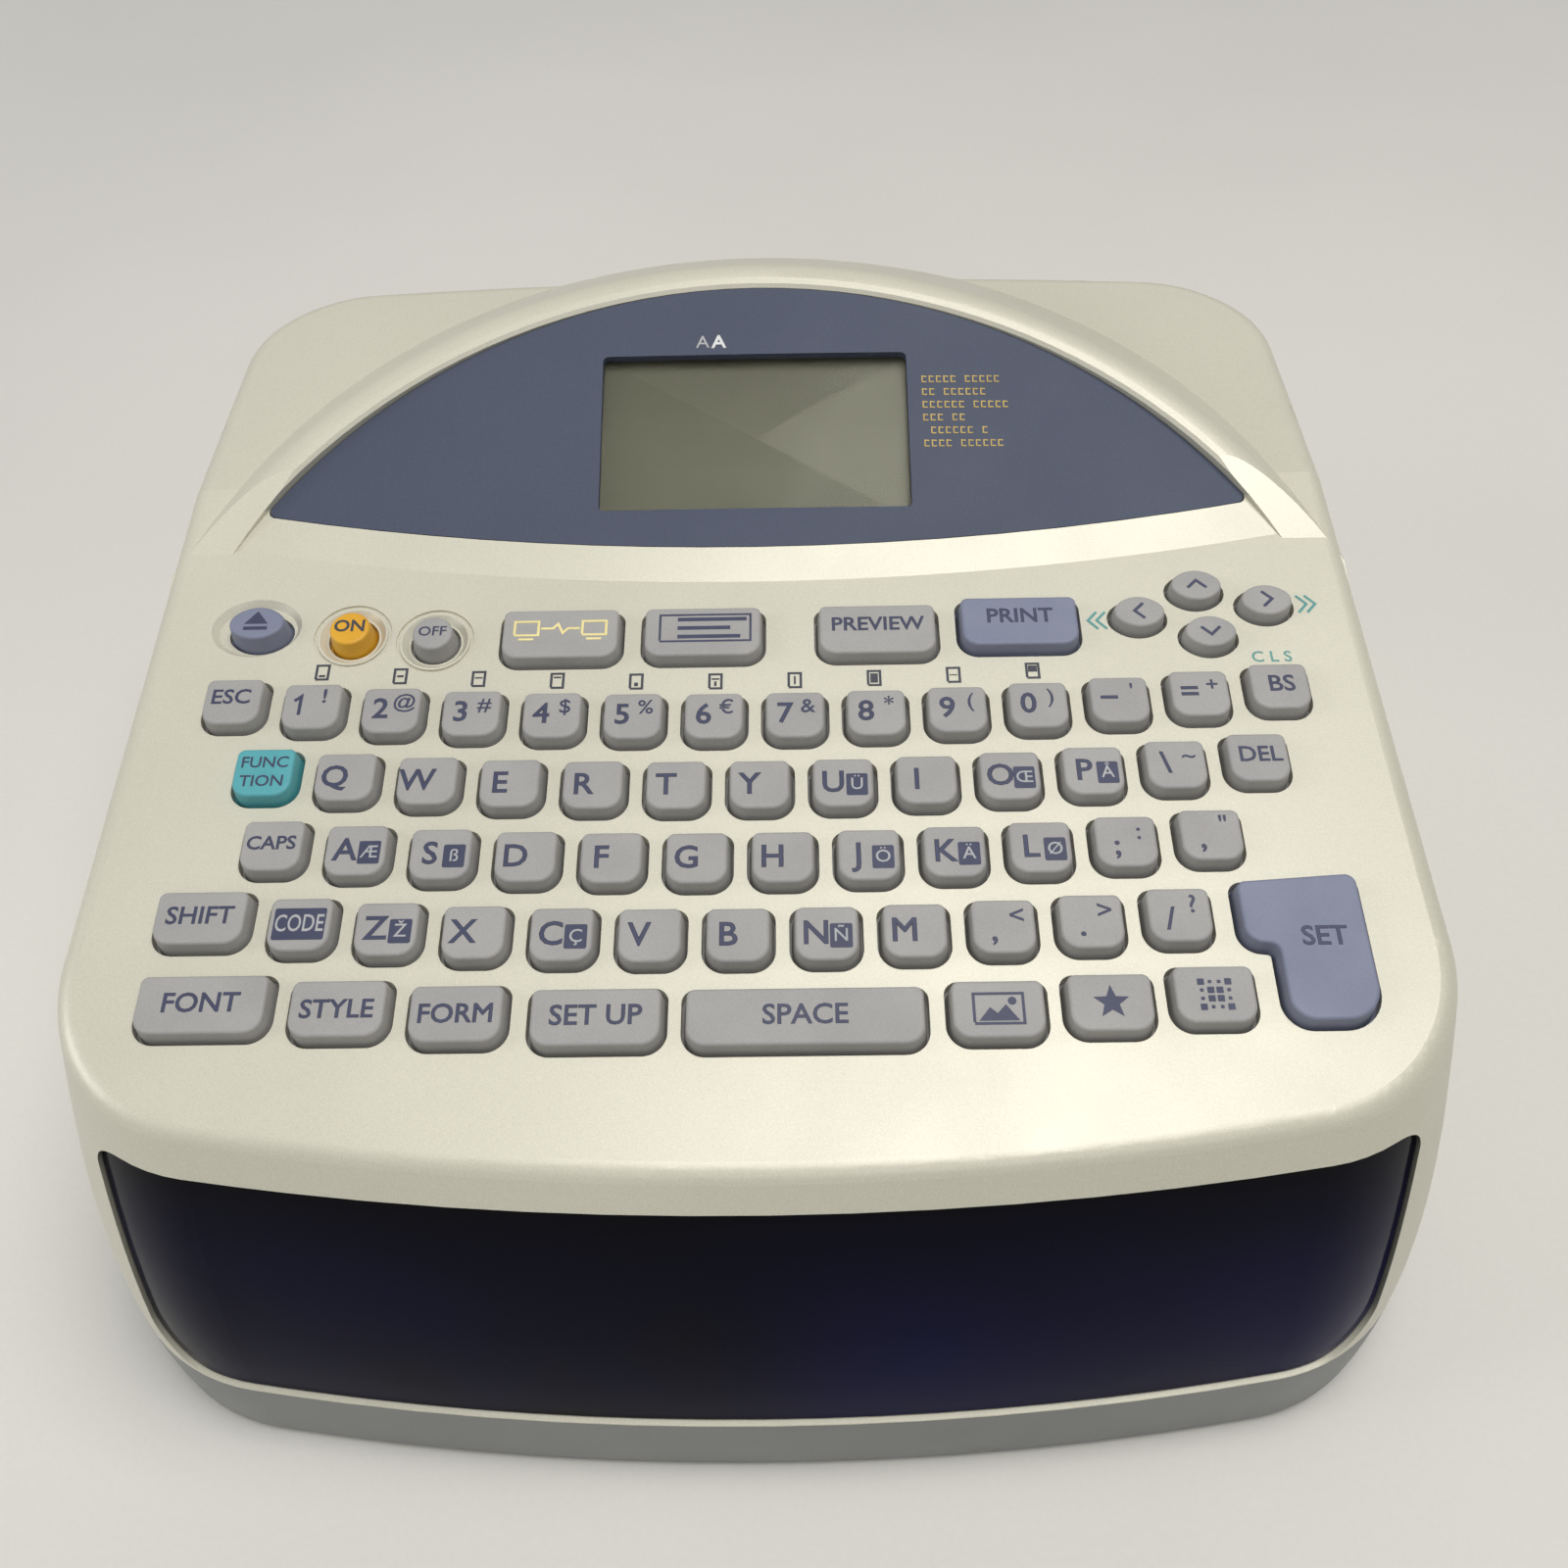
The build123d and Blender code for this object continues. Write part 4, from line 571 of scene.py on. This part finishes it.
for body, x0, row, marks in rows:
    legend = Legend(body + "_print", body, deckPlace)
    for i, mark in enumerate(marks):
        keyMark(legend, x0 + i * ink["pitch"], row, mark)
    legend.finish()


def pictureMark(legend, x, y):
    # generic picture: a frame with a hill and a sun
    legend.shape(stroke([(-3.4, -2.2), (3.4, -2.2), (3.4, 2.2), (-3.4, 2.2), (-3.4, -2.0)], 0.4), x, y)
    legend.shape([(-2.8, -1.8), (2.8, -1.8), (1.0, 0.6), (-0.2, -0.7), (-1.2, 0.2)], x, y)
    legend.shape(roundedBox(1.2, 1.2, 0.59), x + 1.9, y + 1.1)


def starMark(legend, x, y):
    points = []
    for i in range(10):
        radius = 2.6 if i % 2 == 0 else 1.1
        angle = math.radians(90 + 36 * i)
        points.append((radius * math.cos(angle), radius * math.sin(angle)))
    legend.shape(points, x, y)


def gridMark(legend, x, y):
    # generic drawn letter: a grid of dots with some filled
    for i in range(4):
        for j in range(4):
            size = 0.95 if (i, j) in ((0, 0), (0, 3), (1, 1), (2, 2), (3, 0), (3, 3), (1, 2), (2, 1)) else 0.5
            legend.shape(roundedBox(size, size, 0.1, 2), x + (i - 1.5) * 1.25, y + (j - 1.5) * 1.25)


legend = Legend("bottom_row_print", "bottom_row_keys", deckPlace)
bottomWords = [("FONT", -76.6, -46.9, 4.1), ("STYLE", -57.5, -48.1, 3.9), ("FORM", -41.0, -49.0, 4.0),
               ("SET UP", -21.7, -49.5, 4.2)]
for text, x, y, size in bottomWords:
    legend.words(text, x, y, size)
pictureMark(legend, 33.6, -49.2)
starMark(legend, 49.1, -48.5)
gridMark(legend, 63.5, -47.5)
legend.finish()

singleWords = [("set", "SET", 80.0, -38.9, 4.2, "navyInk", 0.07),
               ("print", "PRINT", 42.2, 18.3, 3.9, "navyInk", 0.07),
               ("preview", "PREVIEW", 19.5, 17.1, 3.7, "navyInk", 0.07),
               ("on", "ON", -64.9, 18.3, 3.2, "darkInk", 0.07),
               ("off", "OFF", -51.5, 17.0, 2.6, "navyInk", 0.03)]
for key, text, x, y, size, inkName, weight in singleWords:
    legend = Legend(key + "_print", key + "_key", deckPlace)
    legend.words(text, x, y, size, inkName, weight=weight)
    legend.finish()

legend = Legend("eject_print", "eject_key", deckPlace)
ejectMark = {"x": -80.1, "y": 19.5, "half": 1.9, "peak": 2.1}
legend.shape([(-ejectMark["half"], -0.4), (ejectMark["half"], -0.4), (0, ejectMark["peak"])],
             ejectMark["x"], ejectMark["y"])
legend.shape(bar(-ejectMark["half"], ejectMark["half"], -1.6, -0.95), ejectMark["x"], ejectMark["y"])
legend.finish()

arrowMarks = [("left_key", 61.4, 19.0, 90), ("up_key", 71.2, 24.2, 0), ("down_key", 72.2, 14.9, 180),
              ("right_key", 82.0, 21.0, 270)]
for key, x, y, turn in arrowMarks:
    legend = Legend(key + "_print", key, deckPlace)
    legend.shape(stroke([(-1.5, -0.7), (0, 0.8), (1.5, -0.7)], 0.5), x, y, turn=turn)
    legend.finish()

# The first two command keys: two screens with a signal between them, and a card of lines.
linkMark = {"x": -31.0, "y": 17.2, "apart": 5.4, "line": 0.4, "ink": "creamInk"}
legend = Legend("link_print", "link_key", deckPlace)
screen = [(-1.9, -1.3), (1.9, -1.3), (1.9, 1.4), (-1.9, 1.4), (-1.9, -1.1)]
signal = [(-3.1, 0), (-1.2, 0), (-0.4, 0.9), (0.4, -0.9), (1.2, 0), (3.1, 0)]
for sign in (-1, 1):
    x = linkMark["x"] + sign * linkMark["apart"]
    legend.shape(stroke(screen, linkMark["line"]), x, linkMark["y"], linkMark["ink"])
    legend.shape(bar(-1.2, 1.2, -2.3, -1.9), x, linkMark["y"], linkMark["ink"])
legend.shape(stroke(signal, linkMark["line"]), linkMark["x"], linkMark["y"], linkMark["ink"])
legend.finish()

cardMark = {"x": -7.9, "y": 16.9, "halfWidth": 7.2, "halfHeight": 2.6, "line": 0.35, "step": 1.7,
            "indent": 4.4}
legend = Legend("memory_print", "memory_key", deckPlace)
for i, width in enumerate((11.0, 8.4, 10.0)):
    legend.shape(bar(0, width, -0.35, 0.35), cardMark["x"] - cardMark["indent"],
                 cardMark["y"] + cardMark["step"] * (1 - i))
w = cardMark["halfWidth"]
h = cardMark["halfHeight"]
card = [(-w, -h), (w, -h), (w, h), (-w, h), (-w, 0.2 - h)]
legend.shape(stroke(card, cardMark["line"]), cardMark["x"], cardMark["y"])
legend.finish()
print("key legends made")


# Printing on the deck and the display panel.
deckPrint = Legend("deck_print", "case", deckPlace)
marksOver = {"width": 1.9, "height": 2.7, "line": 0.4, "y": 8.0}
motifs = [[(-0.5, -0.9, 0.5, -0.5)],
          [(-0.5, -0.2, 0.5, 0.2)],
          [(-0.6, 0.1, 0.6, 0.35)],
          [(-0.6, 0.5, 0.6, 0.8)],
          [(-0.3, -0.9, 0.3, -0.2)],
          [(-0.6, 0.3, 0.6, 0.6), (-0.2, -0.9, 0.2, 0.0)],
          [(-0.15, -0.8, 0.15, 0.8)],
          [(-0.6, -0.9, 0.6, 0.9)],
          [(-0.6, -0.1, 0.6, 0.1)],
          [(-0.7, -0.2, 0.7, 1.0)]]
w = marksOver["width"] / 2
h = marksOver["height"] / 2
for i, motif in enumerate(motifs):
    x, bow = rowPlace(-81.25 + ink["pitch"] * (i + 1), 0)
    y = bow + marksOver["y"]
    deckPrint.shape(stroke([(-w, -h), (w, -h), (w, h), (-w, h), (-w, -h + 0.1)], marksOver["line"]), x, y,
                    "darkInk", z=0)
    for x0, y0, x1, y1 in motif:
        deckPrint.shape(bar(x0, x1, y0, y1), x, y, "darkInk", z=0)
for sign, x, y in ((-1, 54.9, 18.9), (1, 89.0, 21.6)):   # scroll chevrons beside the arrows
    for step in (0, 1.4):
        points = [(-0.8, -1.7), (0.7, 0), (-0.8, 1.7)]
        chevron = [(sign * (px + step - 0.7), py) for px, py in points]
        deckPrint.shape(stroke(chevron, 0.45), x, y, "seaInk", z=0)
x, bow = rowPlace(81.25, 0)
deckPrint.words("C L S", x + 0.4, bow + 7.1, 2.9, "seaInk", z=0, weight=0.03)
deckPrint.finish()

panelPrint = Legend("panel_print", "case", facePlace)
panelPrint.words("A", -9.0, 46.6, 3.5, "paleInk", z=0, weight=0.02)
panelPrint.words("A", -6.2, 46.6, 3.6, "whiteInk", z=0, weight=0.12)
ticks = {"x": 28.8, "y": 38.5, "step": 2.55, "width": 0.85, "pitch": 1.25, "height": 1.25, "line": 0.22,
         "bowRadius": 450}
for i, count in enumerate((11, 10, 12, 6, 9, 12)):       # rows of gold ticks, with a gap here and there
    y = ticks["y"] - ticks["step"] * i
    half = ticks["height"] / 2
    tick = [(0.1, -half), (0.1, half), (ticks["width"], half - 0.1)]
    foot = bar(0.1, ticks["width"], -half, ticks["line"] - half)
    for j in range(count):
        if (3 * i + j) % 7 == 5:
            continue
        x = ticks["x"] + ticks["pitch"] * j
        drop = x**2 / (2 * (ticks["bowRadius"] - y)) * math.sin(face["tilt"])
        panelPrint.shape(stroke(tick, ticks["line"]), x, y, "goldInk", z=-drop)
        panelPrint.shape(foot, x, y, "goldInk", z=-drop)
panelPrint.finish()
print("deck and panel printing made")


# Camera, lights and floor.
def makeCamera():
    shot = {"place": (0.0068492, -0.1849027, 0.2541149), "lens": 36.0, "sensor": 36.0}
    data = bpy.data.cameras.new("photoCamera")
    data.lens = shot["lens"]
    data.sensor_width = shot["sensor"]
    data.clip_start = 0.01
    data.clip_end = 20
    camera = bpy.data.objects.new("photoCamera", data)
    bpy.context.scene.collection.objects.link(camera)
    turn = Matrix(((0.999843, 0.014434, 0.010246),
                   (-0.003935, 0.7456, -0.666383),
                   (-0.017259, 0.666238, 0.74554)))
    camera.matrix_world = Matrix.Translation(shot["place"]) @ turn.to_4x4()
    bpy.context.scene.camera = camera


def areaLight(name, place, aim, size, power, tint):
    data = bpy.data.lights.new(name, "AREA")
    data.shape = "RECTANGLE"
    data.size = size[0]
    data.size_y = size[1]
    data.energy = power
    data.color = tint
    lamp = bpy.data.objects.new(name, data)
    bpy.context.scene.collection.objects.link(lamp)
    lamp.location = place
    lamp.rotation_mode = "QUATERNION"
    lamp.rotation_quaternion = (Vector(aim) - Vector(place)).to_track_quat("-Z", "Y")


def makeStage():
    floorTone = {"half": 3.0, "light": rgb(222, 220, 214), "dark": rgb(215, 213, 207)}
    bm = bmesh.new()
    bmesh.ops.create_grid(bm, x_segments=1, y_segments=1, size=floorTone["half"])
    data = bpy.data.meshes.new("floor")
    bm.to_mesh(data)
    bm.free()
    floor = bpy.data.objects.new("floor", data)
    bpy.context.scene.collection.objects.link(floor)
    data.materials.append(plainFinish("paleFloor", floorTone["light"], floorTone["dark"], rough=(0.7, 0.8),
                                      grain=(400, 0.00005), drift=3, fleck=(900, 0.99, 1.01)))
    world = bpy.context.scene.world or bpy.data.worlds.new("World")
    bpy.context.scene.world = world
    world.use_nodes = True
    backdrop = world.node_tree.nodes["Background"]
    backdrop.inputs["Color"].default_value = (0.86, 0.87, 0.88, 1)
    backdrop.inputs["Strength"].default_value = 0.32


bpy.context.scene.view_settings.view_transform = "Standard"
makeCamera()
areaLight("ceilingSoft", (0.2, -0.1, 1.15), (0, -0.02, 0.05), (0.8, 0.6), 9.5, (1.0, 0.985, 0.955))
areaLight("leftWindow", (-1.1, -0.15, 0.55), (0, 0, 0.05), (0.5, 0.6), 3.4, (0.98, 0.99, 1.0))
areaLight("frontFill", (0.3, -1.2, 0.9), (0, 0, 0.05), (0.7, 0.4), 1.2, (0.98, 0.99, 1.0))
makeStage()
print("camera, lights and floor made")
